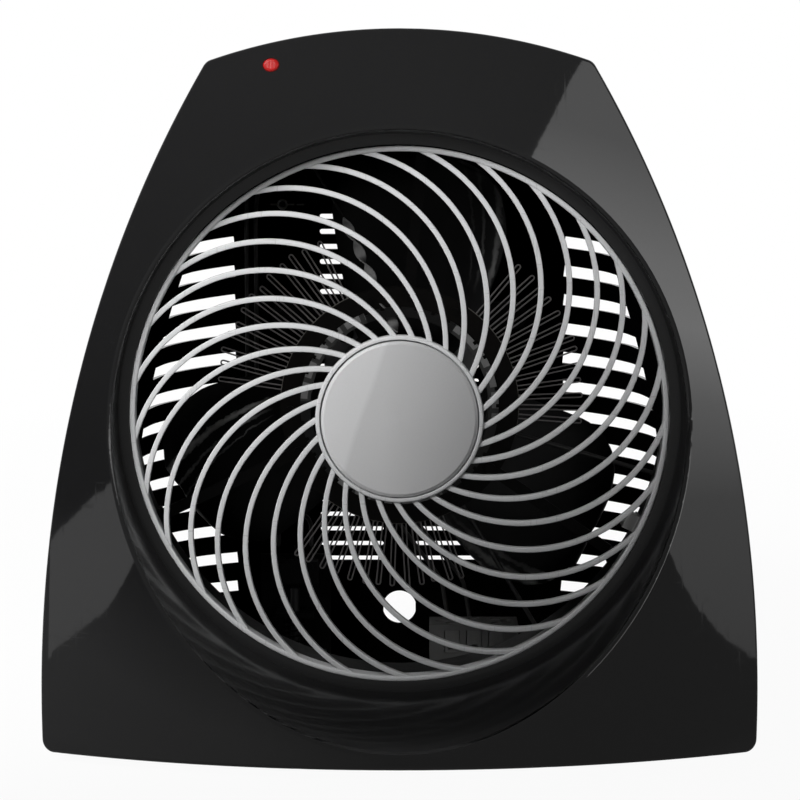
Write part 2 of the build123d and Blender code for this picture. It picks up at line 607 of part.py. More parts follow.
# ---------------------------------------------------------------- fan
FAN_REAR_Y = FAN_FRONT_Y + FAN_LENGTH
FAN_MID_Y = FAN_FRONT_Y + FAN_LENGTH / 2
HUB_BACK_Y = FAN_REAR_Y - 2
BLADE_ANGLES = (82.5, 202.5, 322.5)
with BuildPart() as fan_blade:
    root = Plane(origin=(FAN_HUB_R - 5, FAN_MID_Y, AXIS_Z), x_dir=(0, 0, 1), z_dir=(1, 0, 0))
    with BuildSketch(root):
        Rectangle(46, BLADE_THICK, rotation=-38)
    with BuildSketch(root.offset(FAN_TIP_R + 4 - FAN_HUB_R)):
        Rectangle(96, BLADE_THICK, rotation=-21)
    loft()
    with BuildSketch(front_plane(FAN_FRONT_Y + 1)):
        with BuildLine():
            l1 = Line(polar(FAN_HUB_R - 5, 38), polar(48, 28.5))
            l2 = Line(l1 @ 1, polar(76, 25.5))
            l3 = ThreePointArc(l2 @ 1, polar(91, 18.5), polar(FAN_TIP_R, 9.5))
            l4 = ThreePointArc(l3 @ 1, polar(FAN_TIP_R, 3.5), polar(FAN_TIP_R, -2.5))
            l5 = ThreePointArc(l4 @ 1, polar(91.5, -13.5), polar(79, -23))
            l6 = ThreePointArc(l5 @ 1, polar(58, -30), polar(FAN_HUB_R + 4, -40))
            l7 = Line(l6 @ 1, polar(FAN_HUB_R - 5, -45))
            Line(l7 @ 1, l1 @ 0)
        make_face()
    extrude(amount=2 - FAN_LENGTH, mode=Mode.INTERSECT)
    rod_y(0, AXIS_Z, FAN_HUB_R - 1.5, FAN_FRONT_Y - 5, FAN_REAR_Y + 5, Mode.SUBTRACT)

with BuildPart() as fan:
    turned(((SHAFT_R + FIT / 4, FAN_FRONT_Y), (FAN_HUB_R - 7, FAN_FRONT_Y), (FAN_HUB_R - 2, FAN_FRONT_Y + 1.6),
            (FAN_HUB_R, FAN_FRONT_Y + 5), (FAN_HUB_R, HUB_BACK_Y), (FAN_HUB_R - 2.4, HUB_BACK_Y),
            (FAN_HUB_R - 2.4, FAN_FRONT_Y + 6), (FAN_HUB_R - 6, FAN_FRONT_Y + 2.8), (7, FAN_FRONT_Y + 2.8),
            (7, HUB_BACK_Y - 4), (SHAFT_R + FIT / 4, HUB_BACK_Y - 4)))
    for angle in BLADE_ANGLES:
        add(fan_blade.part.rotate(SPIN, -angle))
    for index in range(6):
        x, z = polar((FAN_HUB_R + 4.6) / 2, index * 60)
        with Locations(Location((x, FAN_FRONT_Y + 12, AXIS_Z + z), (0, -index * 60, 0))):
            Box(FAN_HUB_R - 9.2, 20, 1.6)
save(fan, "fan")

MOTOR_REAR_Y = MOTOR_Y + 2 * COVER_LENGTH + CORE_LENGTH
CORE_Y = MOTOR_Y + COVER_LENGTH
with BuildPart() as motor_shaft:
    rod_y(0, AXIS_Z, SHAFT_R, FAN_FRONT_Y - 4, MOTOR_REAR_Y + 0.5)
    chamfer(motor_shaft.edges().filter_by(GeomType.CIRCLE), 0.4)
save(motor_shaft, "motor_shaft")

with BuildPart() as fan_nut:
    with BuildSketch(front_plane(FAN_FRONT_Y - FIT)):
        RegularPolygon(6.0, 6)
        Circle(SHAFT_R + FIT / 4, mode=Mode.SUBTRACT)
    extrude(amount=3.0)
save(fan_nut, "fan_nut")

# ---------------------------------------------------------------- motor
BUSH_R = 7.0
BUSH_LENGTH = 6.0


def motor_cover(closed_y, open_y):
    """Square cup with rounded corners, bore for the bush and four vents."""
    y0, y1 = min(closed_y, open_y), max(closed_y, open_y)
    wall_end = closed_y + (2.2 if open_y > closed_y else -2.2)
    with BuildSketch(front_plane(y0), mode=Mode.PRIVATE) as outside:
        RectangleRounded(CORE_SIZE - 2, CORE_SIZE - 2, 14)
    extrude(outside.sketch, amount=-(y1 - y0))
    c0, c1 = min(wall_end, open_y), max(wall_end, open_y)
    with BuildSketch(front_plane(c0 - (0 if closed_y < open_y else 1)), mode=Mode.PRIVATE) as inside:
        RectangleRounded(CORE_SIZE - 7, CORE_SIZE - 7, 11.5)
    extrude(inside.sketch, amount=-(c1 - c0 + 1), mode=Mode.SUBTRACT)
    rod_y(0, AXIS_Z, BUSH_R + 2.5, min(closed_y, wall_end), max(closed_y, wall_end))
    rod_y(0, AXIS_Z, BUSH_R + FIT, y0 - 1, y1 + 1, Mode.SUBTRACT)
    for index in range(4):
        rod_polar(17.5, index * 90, 4.5, y0 - 1, y1 + 1, Mode.SUBTRACT)
    for x in (-MOTOR_BOLT_OFFSET, MOTOR_BOLT_OFFSET):
        for z in (-MOTOR_BOLT_OFFSET, MOTOR_BOLT_OFFSET):
            rod_y(x, AXIS_Z + z, 2.2, y0 - 1, y1 + 1, Mode.SUBTRACT)


with BuildPart() as motor_front_cover:
    motor_cover(MOTOR_Y, CORE_Y - FIT)
save(motor_front_cover, "motor_front_cover")

with BuildPart() as motor_rear_cover:
    motor_cover(MOTOR_REAR_Y, CORE_Y + CORE_LENGTH + FIT)
save(motor_rear_cover, "motor_rear_cover")

with BuildPart() as motor_bushes:
    for y in (MOTOR_Y - 2, MOTOR_REAR_Y + 2 - BUSH_LENGTH):
        rod_y(0, AXIS_Z, BUSH_R, y, y + BUSH_LENGTH)
    chamfer(motor_bushes.edges().filter_by(GeomType.CIRCLE), 0.6)
    rod_y(0, AXIS_Z, SHAFT_R + RUN_FIT, MOTOR_Y - 3, MOTOR_REAR_Y + 3, Mode.SUBTRACT)
save(motor_bushes, "motor_bushes")

WINDING_AT = 24.0
with BuildPart() as stator_core:
    with BuildSketch(front_plane(CORE_Y)):
        RectangleRounded(CORE_SIZE, CORE_SIZE, 12)
        Circle(ROTOR_R + AIR_GAP, mode=Mode.SUBTRACT)
        with PolarLocations(WINDING_AT, 4):
            Circle(5.2, mode=Mode.SUBTRACT)
        with GridLocations(2 * MOTOR_BOLT_OFFSET, 2 * MOTOR_BOLT_OFFSET, 2, 2):
            Circle(2.2, mode=Mode.SUBTRACT)
    extrude(amount=-CORE_LENGTH)
save(stator_core, "stator_core")

with BuildPart() as motor_windings:
    for y0 in (CORE_Y - 5.5, CORE_Y + CORE_LENGTH + 0.5):
        turned(((20, y0), (28, y0), (28.5, y0 + 1), (28.5, y0 + 4), (28, y0 + 5), (20, y0 + 5),
                (19.5, y0 + 4), (19.5, y0 + 1)))
    with BuildSketch(front_plane(CORE_Y - 2)):
        with PolarLocations(WINDING_AT, 4):
            Circle(4.4)
    extrude(amount=-(CORE_LENGTH + 4))
save(motor_windings, "motor_windings")

with BuildPart() as rotor:
    rod_y(0, AXIS_Z, ROTOR_R, CORE_Y - 1, CORE_Y + CORE_LENGTH + 1)
    rod_y(0, AXIS_Z, ROTOR_R - 4, CORE_Y - 3, CORE_Y + CORE_LENGTH + 3)
    rod_y(0, AXIS_Z, SHAFT_R + FIT / 4, CORE_Y - 4, CORE_Y + CORE_LENGTH + 4, Mode.SUBTRACT)
save(rotor, "rotor")

BRACKET_Y = MOTOR_REAR_Y + ISOLATOR_THICK + 2 * FIT
BOLT_SPOTS = tuple((x, AXIS_Z + z) for x in (-MOTOR_BOLT_OFFSET, MOTOR_BOLT_OFFSET)
                   for z in (-MOTOR_BOLT_OFFSET, MOTOR_BOLT_OFFSET))
BRACKET_SPOTS = tuple((x, AXIS_Z + z) for x in (-BRACKET_HALF, BRACKET_HALF)
                      for z in (-BRACKET_BOSS_Z, BRACKET_BOSS_Z))
with BuildPart() as motor_bolts:
    for x, z in BOLT_SPOTS:
        rod_y(x, z, 2.0, MOTOR_Y - FIT, BRACKET_Y + BRACKET_THICK + 3.0)
        rod_y(x, z, 3.6, MOTOR_Y - FIT - 2.4, MOTOR_Y - FIT)
save(motor_bolts, "motor_bolts")

with BuildPart() as motor_nuts:
    for x, z in BOLT_SPOTS:
        with BuildSketch(Plane(origin=(x, BRACKET_Y + BRACKET_THICK + FIT, z), x_dir=(1, 0, 0), z_dir=(0, 1, 0))):
            RegularPolygon(3.8, 6)
            Circle(2.0 + FIT / 4, mode=Mode.SUBTRACT)
        extrude(amount=2.2)
save(motor_nuts, "motor_nuts")

with BuildPart() as motor_isolators:
    for x, z in BOLT_SPOTS:
        rod_y(x, z, 4.6, MOTOR_REAR_Y + FIT, BRACKET_Y - FIT)
        rod_y(x, z, 2.0 + FIT, MOTOR_REAR_Y, BRACKET_Y, Mode.SUBTRACT)
save(motor_isolators, "motor_isolators")

with BuildPart() as motor_bracket:
    with BuildSketch(front_plane(BRACKET_Y)):
        RectangleRounded(2 * MOTOR_BOLT_OFFSET + 14, 2 * MOTOR_BOLT_OFFSET + 14, 6)
        with Locations((0, BRACKET_BOSS_Z), (0, -BRACKET_BOSS_Z)):
            SlotOverall(2 * BRACKET_HALF + 12, 12)
        Circle(15, mode=Mode.SUBTRACT)
        with GridLocations(2 * MOTOR_BOLT_OFFSET, 2 * MOTOR_BOLT_OFFSET, 2, 2):
            Circle(2.2, mode=Mode.SUBTRACT)
        with GridLocations(2 * BRACKET_HALF, 2 * BRACKET_BOSS_Z, 2, 2):
            Circle(SCREW_R + 0.2, mode=Mode.SUBTRACT)
    extrude(amount=-BRACKET_THICK)
save(motor_bracket, "motor_bracket")

with BuildPart() as bracket_screws:
    for x, z in BRACKET_SPOTS:
        screw_y(x, z, BRACKET_Y - FIT, 5, front=False)
save(bracket_screws, "bracket_screws")

# ---------------------------------------------------------------- rear shell
CONTROL = Plane(origin=(0, PANEL_Y, TOP_Z - draft_inset(PANEL_Y) - POCKET_DEPTH), x_dir=(1, 0, 0),
                z_dir=(0, sin(radians(REAR_DRAFT)), cos(radians(REAR_DRAFT))))
with BuildSketch() as inlet_shape:
    Circle(INLET_R)
    Rectangle(INLET_WIDTH, 3 * INLET_R, mode=Mode.INTERSECT)

with BuildPart() as joint_lip:
    with BuildSketch(PARTING.offset(4)):
        cabinet_outline(draft_inset(PART_Y) + WALL + 0.3)
        with Locations((0, AXIS_Z + FLOOR_Z + 1)):
            Rectangle(3 * BODY_HALF_WIDTH, 2 * AXIS_Z, mode=Mode.INTERSECT)
    extrude(amount=-5)
    with BuildSketch(PARTING):
        cabinet_outline(draft_inset(PART_Y) + WALL - 0.2)
        with Locations((0, AXIS_Z + FLOOR_Z + 1)):
            Rectangle(3 * BODY_HALF_WIDTH, 2 * AXIS_Z, mode=Mode.INTERSECT)
    extrude(amount=-3)
    with BuildSketch(PARTING.offset(6)):
        cabinet_outline(draft_inset(PART_Y) + WALL + 1.6)
    extrude(amount=-12, mode=Mode.SUBTRACT)

with BuildPart() as rear_shell:
    add(hull.part)
    split(bisect_by=PARTING.offset(-PART_GAP / 2), keep=Keep.BOTTOM)
    add(hollow.part, mode=Mode.SUBTRACT)
    with BuildSketch(CONTROL.offset(-WALL)):
        RectangleRounded(PANEL_WIDTH + 2 * WALL, PANEL_LENGTH + 2 * WALL, 6 + WALL)
    extrude(amount=POCKET_DEPTH + WALL + 6)
    for x, z in WELLS:
        rod_y(x, z, BOSS_R + 0.7, PART_Y + PART_GAP / 2, REAR_Y)
    for x, z in BRACKET_SPOTS:
        rod_y(x, z, BOSS_R, BRACKET_Y + BRACKET_THICK + FIT, REAR_Y)
    for x, y in BASE_SPOTS[2:]:
        rod_z(x, y, BOSS_R, BODY_Z, BODY_Z + 11)
    for x, y in GUIDE_SPOTS + BLOCK_SPOTS:
        rod_z(x, y, BOSS_R - 0.9, BODY_Z, BODY_Z + 8)
    rod_y(CLIP_X[0], CLIP_Z, CLIP_R, REAR_Y - WALL - CLIP_REACH, REAR_Y)
    block(CLIP_X[0] - 4 * CLIP_R, CLIP_X[0] + 4 * CLIP_R, REAR_Y - WALL - CLIP_REACH + 1, REAR_Y,
          CLIP_Z - RIB_THICK / 2, CLIP_Z + RIB_THICK / 2)
    for turn in (30, 150, 270):
        with Locations(Location((CLIP_X[1], REAR_Y - (WALL + CLIP_REACH) / 2, CLIP_Z), (0, -turn, 0))):
            with Locations((1.5 * CLIP_R, 0, 0)):
                Box(3 * CLIP_R, WALL + CLIP_REACH, RIB_THICK)
    add(hull.part, mode=Mode.INTERSECT)
    rod_y(CLIP_X[0], CLIP_Z, CLIP_R - RIB_THICK, REAR_Y - WALL - CLIP_REACH - 1, REAR_Y - 1.2, Mode.SUBTRACT)
    with BuildSketch(CONTROL):
        RectangleRounded(PANEL_WIDTH + 0.4, PANEL_LENGTH + 0.4, 6)
    extrude(amount=30, mode=Mode.SUBTRACT)
    for x in (-KNOB_X, KNOB_X):
        with on_plane(CONTROL, x, 0, -WALL - 2, 2):
            Cylinder(4.5 + 2 * FIT, WALL + 4, mode=Mode.SUBTRACT)
    for x, z in WELLS:
        rod_y(x, z, SCREW_HEAD_R + 0.4, PART_Y + PART_GAP / 2 + 3, REAR_Y + 5, Mode.SUBTRACT)
        rod_y(x, z, SCREW_R + 0.2, PART_Y - 1, PART_Y + 5, Mode.SUBTRACT)
    for x, z in BRACKET_SPOTS:
        rod_y(x, z, SCREW_R - 0.2, BRACKET_Y, REAR_Y - 1.2, Mode.SUBTRACT)
    for x, y in BASE_SPOTS[2:]:
        rod_z(x, y, SCREW_R - 0.2, BODY_Z - 1, BODY_Z + 9.5, Mode.SUBTRACT)
    for x, y in GUIDE_SPOTS + BLOCK_SPOTS:
        rod_z(x, y, SCREW_R - 0.4, BODY_Z + 1.2, BODY_Z + 9, Mode.SUBTRACT)
    rod_z(PLUNGER_X, PLUNGER_Y, PLUNGER_R + 0.3, BODY_Z - 1, FLOOR_Z + 1, Mode.SUBTRACT)
    with BuildSketch(Plane.XZ.offset(-REAR_Y - 2)):
        for column in (-1, 1):
            for row in range(BANK_ROWS):
                with Locations((column * (BANK_IN_X + BANK_OUT_X) / 2, BANK_BOTTOM + row * BANK_PITCH)):
                    SlotOverall(BANK_OUT_X - BANK_IN_X, BANK_OPEN)
        with Locations((0, INLET_Z)):
            add(inlet_shape.sketch)
    extrude(amount=8, mode=Mode.SUBTRACT)
    with BuildSketch(Plane.XZ.offset(-REAR_Y - 2)):
        for side in (-1, 1):
            for row in range(VENT_ROWS):
                z = VENT_BOTTOM + row * VENT_PITCH
                with Locations(Location((side * VENT_IN_X, z, 0), (0, 0, -side * VENT_SLOPE))):
                    with Locations((side * 40, 0)):
                        Rectangle(80, VENT_OPEN)
    extrude(amount=REAR_Y + 2 - VENT_FRONT_Y, mode=Mode.SUBTRACT)
    add(joint_lip.part)
save(rear_shell, "rear_shell")

with BuildPart() as shell_screws:
    for x, z in WELLS:
        screw_y(x, z, PART_Y + PART_GAP / 2 + 3 + FIT, 14)
save(shell_screws, "shell_screws")

# ---------------------------------------------------------------- base plate and feet
PLATE_TOP_Z = BODY_Z - FIT
PLATE_Z = PLATE_TOP_Z - PLATE_THICK
with BuildPart() as base_plate:
    with BuildSketch(Plane.XY.offset(PLATE_Z)):
        with Locations((0, (PLATE_FRONT_Y + PLATE_REAR_Y) / 2)):
            RectangleRounded(PLATE_WIDTH, PLATE_REAR_Y - PLATE_FRONT_Y, 12)
        with Locations(*BASE_SPOTS):
            Circle(SCREW_R + 0.2, mode=Mode.SUBTRACT)
        with Locations(*FOOT_SPOTS):
            Circle(3.6, mode=Mode.SUBTRACT)
        with Locations((PLUNGER_X, PLUNGER_Y)):
            Circle(PLUNGER_R + 1.0, mode=Mode.SUBTRACT)
        with Locations((0, -10)):
            with GridLocations(18, 0.1, 6, 1):
                SlotOverall(30, 4, rotation=90, mode=Mode.SUBTRACT)
    extrude(amount=PLATE_THICK)
save(base_plate, "base_plate")

with BuildPart() as feet:
    for x, y in FOOT_SPOTS:
        rod_z(x, y, FOOT_R, 0, PLATE_Z - FIT)
        rod_z(x, y, 3.4, PLATE_Z - 0.5, PLATE_TOP_Z)
        rod_z(x, y, FOOT_R - 2.5, -0.1, 0.5, Mode.SUBTRACT)
save(feet, "feet")

with BuildPart() as base_screws:
    for x, y in BASE_SPOTS:
        rod_z(x, y, SCREW_HEAD_R, PLATE_Z - FIT - 1.2, PLATE_Z - FIT)
        rod_z(x, y, SCREW_R - 0.25, PLATE_Z - 0.5, BODY_Z + 9)
        block(x - 2, x + 2, y - 0.4, y + 0.4, PLATE_Z - FIT - 1.3, PLATE_Z - FIT - 0.7, Mode.SUBTRACT)
save(base_screws, "base_screws")

# ---------------------------------------------------------------- indicator light
with BuildPart() as indicator_lens:
    with BuildSketch(LAMP_PLANE.offset(-3.6)):
        Ellipse(LENS_WIDTH / 2, LENS_HEIGHT / 2)
    extrude(amount=4.2)
    fillet(indicator_lens.faces().sort_by(Axis.Y)[0].edges(), 1.0)
    with BuildSketch(LAMP_PLANE.offset(-4.6)):
        Ellipse(LENS_WIDTH / 2 + 1.4, LENS_HEIGHT / 2 + 1.4)
    extrude(amount=1.4)
save(indicator_lens, "indicator_lens")

with BuildPart() as indicator_lamp:
    with on_plane(LAMP_PLANE, 0, 0, -13.8, -6):
        Cylinder(1.9, 7.8)
    fillet(indicator_lamp.faces().sort_by(Axis.Y)[0].edges(), 1.2)
    for x in (-0.9, 0.9):
        with on_plane(LAMP_PLANE, x, 0, -22, -13):
            Cylinder(0.3, 9)
save(indicator_lamp, "indicator_lamp")

with BuildPart() as lamp_holder:
    with on_plane(LAMP_PLANE, 0, 0, -16, -4.8):
        Cylinder(4.2, 11.2)
    with on_plane(LAMP_PLANE, 0, 0, -14, -4):
        Cylinder(2.1, 10, mode=Mode.SUBTRACT)
    with on_plane(LAMP_PLANE, 0, 0, -17, -4):
        Box(3.0, 1.0, 13, mode=Mode.SUBTRACT)
save(lamp_holder, "lamp_holder")

# ---------------------------------------------------------------- controls
PANEL_TOP = FIT + PANEL_THICK
NUT_THICK = 2.4
with BuildPart() as control_panel:
    with BuildSketch(CONTROL.offset(FIT)):
        RectangleRounded(PANEL_WIDTH, PANEL_LENGTH, 5.8)
    extrude(amount=PANEL_THICK)
    fillet(control_panel.faces().sort_by(Axis.Z)[-1].edges(), 0.6)
    for x in (-KNOB_X, KNOB_X):
        with on_plane(CONTROL, x, 0, -1, PANEL_TOP + 1):
            Cylinder(4.5 + 2 * FIT, PANEL_TOP + 2, mode=Mode.SUBTRACT)
        for tick in range(11):
            with on_plane(CONTROL, x, 0, PANEL_TOP - 0.4, PANEL_TOP + 1):
                with Locations(Location((*polar(KNOB_R + 2.6, 240 - tick * 30), 0), (0, 0, 240 - tick * 30))):
                    Box(2.2, 0.7, 1.4, mode=Mode.SUBTRACT)
save(control_panel, "control_panel")


def knob(x, pointer):
    """Skirted knob with a grip bar, hollow under the skirt for the fixing nut."""
    base = PANEL_TOP + 0.6
    with on_plane(CONTROL, x, 0, base, base + 4):
        Cylinder(KNOB_R, 4)
    with on_plane(CONTROL, x, 0, base, base + KNOB_HEIGHT):
        with Locations(Location((0, 0, 0), (0, 0, pointer))):
            Box(2 * KNOB_R - 3, 8.5, KNOB_HEIGHT)
    with on_plane(CONTROL, x, 0, base - 1, base + 3.2):
        Cylinder(KNOB_R - 2, 4.2, mode=Mode.SUBTRACT)
    with on_plane(CONTROL, x, 0, base + NUT_THICK + 0.4, base + KNOB_HEIGHT - 2):
        Cylinder(SPINDLE_R + 2.4, KNOB_HEIGHT - NUT_THICK - 2.4)
    with on_plane(CONTROL, x, 0, base, base + KNOB_HEIGHT - 3):
        Cylinder(SPINDLE_R + FIT / 4, KNOB_HEIGHT - 3, mode=Mode.SUBTRACT)
    with on_plane(CONTROL, x, 0, base + KNOB_HEIGHT - 0.5, base + KNOB_HEIGHT + 1):
        with Locations(Location((*polar(KNOB_R - 6, pointer), 0), (0, 0, pointer))):
            Box(7, 1.2, 1.5, mode=Mode.SUBTRACT)


def spindle(x, length):
    with on_plane(CONTROL, x, 0, -WALL - length, PANEL_TOP + KNOB_HEIGHT - 2.6):
        Cylinder(SPINDLE_R, PANEL_TOP + KNOB_HEIGHT - 2.6 + WALL + length)


def bushing(x, depth):
    """Threaded neck of a control, standing up through the floor and the panel."""
    with on_plane(CONTROL, x, 0, -depth, PANEL_TOP + NUT_THICK + 0.4):
        Cylinder(4.5, depth + PANEL_TOP + NUT_THICK + 0.4)
    with on_plane(CONTROL, x, 0, -depth - 30, PANEL_TOP + 10):
        Cylinder(SPINDLE_R + RUN_FIT, depth + PANEL_TOP + 40, mode=Mode.SUBTRACT)


def ring_nut(x):
    with BuildSketch(CONTROL.offset(PANEL_TOP + FIT), mode=Mode.PRIVATE) as nut:
        with Locations((x, 0)):
            RegularPolygon(6.6, 6)
            Circle(4.5 + FIT / 4, mode=Mode.SUBTRACT)
    extrude(nut.sketch, amount=NUT_THICK)


CASE_TOP = -WALL - FIT
with BuildPart() as thermostat_knob:
    knob(KNOB_X, 90)
save(thermostat_knob, "thermostat_knob")

with BuildPart() as heat_knob:
    knob(-KNOB_X, 90)
save(heat_knob, "heat_knob")

with BuildPart() as thermostat_shaft:
    spindle(KNOB_X, 8)
save(thermostat_shaft, "thermostat_shaft")

with BuildPart() as switch_shaft:
    spindle(-KNOB_X, 12)
save(switch_shaft, "switch_shaft")

with BuildPart() as control_nuts:
    ring_nut(KNOB_X)
    ring_nut(-KNOB_X)
save(control_nuts, "control_nuts")

with BuildPart() as thermostat_case:
    with on_plane(CONTROL, KNOB_X, 0, CASE_TOP - 2, CASE_TOP):
        Box(16, 34, 2)
    with on_plane(CONTROL, KNOB_X, 12, CASE_TOP - 12, CASE_TOP - 2):
        Box(12, 9, 10)
    bushing(KNOB_X, -CASE_TOP + 2)
save(thermostat_case, "thermostat_case")

with BuildPart() as thermostat_blade:
    with on_plane(CONTROL, KNOB_X, -1, CASE_TOP - 12.9, CASE_TOP - 12.1):
        Box(6, 34, 0.8)
    with on_plane(CONTROL, KNOB_X, 12, CASE_TOP - 14.6, CASE_TOP - 12.5):
        Box(8, 8, 2.1)
    with on_plane(CONTROL, KNOB_X, -14, CASE_TOP - 12.5, CASE_TOP - 11.2):
        Cylinder(1.8, 1.3)
save(thermostat_blade, "thermostat_blade")

with BuildPart() as switch_case:
    with on_plane(CONTROL, -KNOB_X, 0, CASE_TOP - 15, CASE_TOP):
        Cylinder(13.5, 15)
        with PolarLocations(13.5, 4):
            Box(5, 7, 15)
    bushing(-KNOB_X, -CASE_TOP + 2)
    for index in range(4):
        with on_plane(CONTROL, -KNOB_X, 0, CASE_TOP - 21, CASE_TOP - 15):
            with Locations(Location((*polar(9, 45 + 90 * index), 0), (0, 0, 45 + 90 * index))):
                Box(0.8, 6.3, 6)
save(switch_case, "switch_case")

# ---------------------------------------------------------------- tip-over switch
GUIDE_WALL_Y = PLUNGER_Y + 9.0
SHELF_Z = 31.0
STEM_R = 2.0
FLANGE_Z = 13.5
STEM_TOP_Z = 43.0
BUTTON_TOP_Z = 46.5
SWITCH_Z = 45.0
SWITCH_TALL = 10.0
SWITCH_HALF_Y = 3.2
with BuildPart() as tip_guide:
    block(PLUNGER_X - 15, PLUNGER_X + 15, PLUNGER_Y - 8, GUIDE_WALL_Y + 2, BODY_Z + 8 + FIT, BODY_Z + 10)
    block(PLUNGER_X - 8, PLUNGER_X + 8, PLUNGER_Y - 8, GUIDE_WALL_Y + 2, BODY_Z + 7, BODY_Z + 11, Mode.SUBTRACT)
    block(PLUNGER_X - 15, PLUNGER_X + 15, GUIDE_WALL_Y, GUIDE_WALL_Y + 2, BODY_Z + 8 + FIT, SWITCH_Z + SWITCH_TALL + 1)
    block(PLUNGER_X - 8, PLUNGER_X + 8, PLUNGER_Y - 7, GUIDE_WALL_Y + 1, SHELF_Z, SHELF_Z + 2)
    rod_z(PLUNGER_X, PLUNGER_Y, STEM_R + 0.1, SHELF_Z - 1, SHELF_Z + 3, Mode.SUBTRACT)
    for x, y in GUIDE_SPOTS:
        rod_z(x, y, SCREW_R + 0.1, BODY_Z + 7, BODY_Z + 11, Mode.SUBTRACT)
    for x in (PLUNGER_X - 6.5, PLUNGER_X + 6.5):
        rod_y(x, SWITCH_Z + SWITCH_TALL - 2.5, 1.4, PLUNGER_Y - SWITCH_HALF_Y - 0.4, GUIDE_WALL_Y + 0.5)
        rod_y(x, SWITCH_Z + SWITCH_TALL - 2.5, 2.6, PLUNGER_Y + SWITCH_HALF_Y + FIT, GUIDE_WALL_Y + 0.5)
save(tip_guide, "tip_guide")

with BuildPart() as tip_plunger:
    rod_z(PLUNGER_X, PLUNGER_Y, PLUNGER_R, 0, FLANGE_Z + 1.5)
    rod_z(PLUNGER_X, PLUNGER_Y, PLUNGER_R + 2.3, FLANGE_Z, FLANGE_Z + 1.5)
    rod_z(PLUNGER_X, PLUNGER_Y, STEM_R, FLANGE_Z, STEM_TOP_Z)
    fillet(tip_plunger.faces().sort_by(Axis.Z)[0].edges(), 1.2)
    chamfer(tip_plunger.faces().sort_by(Axis.Z)[-1].edges(), 0.5)
save(tip_plunger, "tip_plunger")

SPRING_LOW_Z = FLANGE_Z + 1.5 + 0.5
SPRING_HIGH_Z = SHELF_Z - 0.5
with BuildPart() as tip_spring:
    with BuildLine() as coil_path:
        Helix(pitch=(SPRING_HIGH_Z - SPRING_LOW_Z) / 6, height=SPRING_HIGH_Z - SPRING_LOW_Z, radius=3.9,
              center=(PLUNGER_X, PLUNGER_Y, SPRING_LOW_Z))
    with BuildSketch(Plane(origin=coil_path.line @ 0, z_dir=coil_path.line % 0)):
        Circle(0.4)
    sweep(path=coil_path.line, is_frenet=True)
save(tip_spring, "tip_spring")

with BuildPart() as microswitch:
    block(PLUNGER_X - 10, PLUNGER_X + 10, PLUNGER_Y - SWITCH_HALF_Y, PLUNGER_Y + SWITCH_HALF_Y,
          SWITCH_Z, SWITCH_Z + SWITCH_TALL)
    for x in (PLUNGER_X - 6.5, PLUNGER_X + 6.5):
        rod_y(x, SWITCH_Z + SWITCH_TALL - 2.5, 1.4 + FIT, PLUNGER_Y - 5, PLUNGER_Y + 5, Mode.SUBTRACT)
    block(PLUNGER_X - 1.7, PLUNGER_X + 1.7, PLUNGER_Y - 1.7, PLUNGER_Y + 1.7, SWITCH_Z - 1, SWITCH_Z + 4, Mode.SUBTRACT)
    for x in (PLUNGER_X - 7, PLUNGER_X, PLUNGER_X + 7):
        block(x - 0.4, x + 0.4, PLUNGER_Y - 1.6, PLUNGER_Y + 1.6, SWITCH_Z + SWITCH_TALL, SWITCH_Z + SWITCH_TALL + 6)
save(microswitch, "microswitch")

with BuildPart() as microswitch_button:
    block(PLUNGER_X - 1.5, PLUNGER_X + 1.5, PLUNGER_Y - 1.5, PLUNGER_Y + 1.5, STEM_TOP_Z + FIT, BUTTON_TOP_Z)
save(microswitch_button, "microswitch_button")

# ---------------------------------------------------------------- mains connection
BLOCK_TOP_Z = BODY_Z + 8 + 16.0
TAB_Z = BODY_Z + 10
with BuildPart() as terminal_block:
    block(BLOCK_X - 19, BLOCK_X + 19, BLOCK_Y - 9, BLOCK_Y + 9, BODY_Z + 8 + FIT, BLOCK_TOP_Z)
    for x in (BLOCK_X - 9.5, BLOCK_X, BLOCK_X + 9.5):
        block(x - 3.4, x + 3.4, BLOCK_Y - 10, BLOCK_Y + 10, BODY_Z + 12, BLOCK_TOP_Z - 2.5, Mode.SUBTRACT)
        for y in (BLOCK_Y - 5, BLOCK_Y + 5):
            rod_z(x, y, 2.4, BODY_Z + 12, BLOCK_TOP_Z + 1, Mode.SUBTRACT)
    for x, y in BLOCK_SPOTS:
        rod_z(x, y, SCREW_R + 0.1, BODY_Z + 7, BLOCK_TOP_Z + 1, Mode.SUBTRACT)
        rod_z(x, y, SCREW_HEAD_R, TAB_Z, BLOCK_TOP_Z + 1, Mode.SUBTRACT)
save(terminal_block, "terminal_block")

with BuildPart() as terminal_clamps:
    for x in (BLOCK_X - 9.5, BLOCK_X, BLOCK_X + 9.5):
        block(x - 3.1, x + 3.1, BLOCK_Y - 8.5, BLOCK_Y + 8.5, BODY_Z + 12 + FIT, BLOCK_TOP_Z - 2.5 - FIT)
        block(x - 1.5, x + 1.5, BLOCK_Y - 9, BLOCK_Y + 9, BODY_Z + 13, BODY_Z + 15.4, Mode.SUBTRACT)
        for y in (BLOCK_Y - 5, BLOCK_Y + 5):
            rod_z(x, y, 2.0, BLOCK_TOP_Z - 3, BLOCK_TOP_Z - 0.4)
save(terminal_clamps, "terminal_clamps")

with BuildPart() as floor_screws:
    for x, y in GUIDE_SPOTS + BLOCK_SPOTS:
        rod_z(x, y, SCREW_HEAD_R - 0.4, TAB_Z + FIT, TAB_Z + 1.6)
        rod_z(x, y, SCREW_R - 0.45, BODY_Z + 2, TAB_Z + 0.5)
save(floor_screws, "floor_screws")

# ---------------------------------------------------------------- wiring
LEAD_R = 0.9
CLAMP_Z = BODY_Z + 14.2


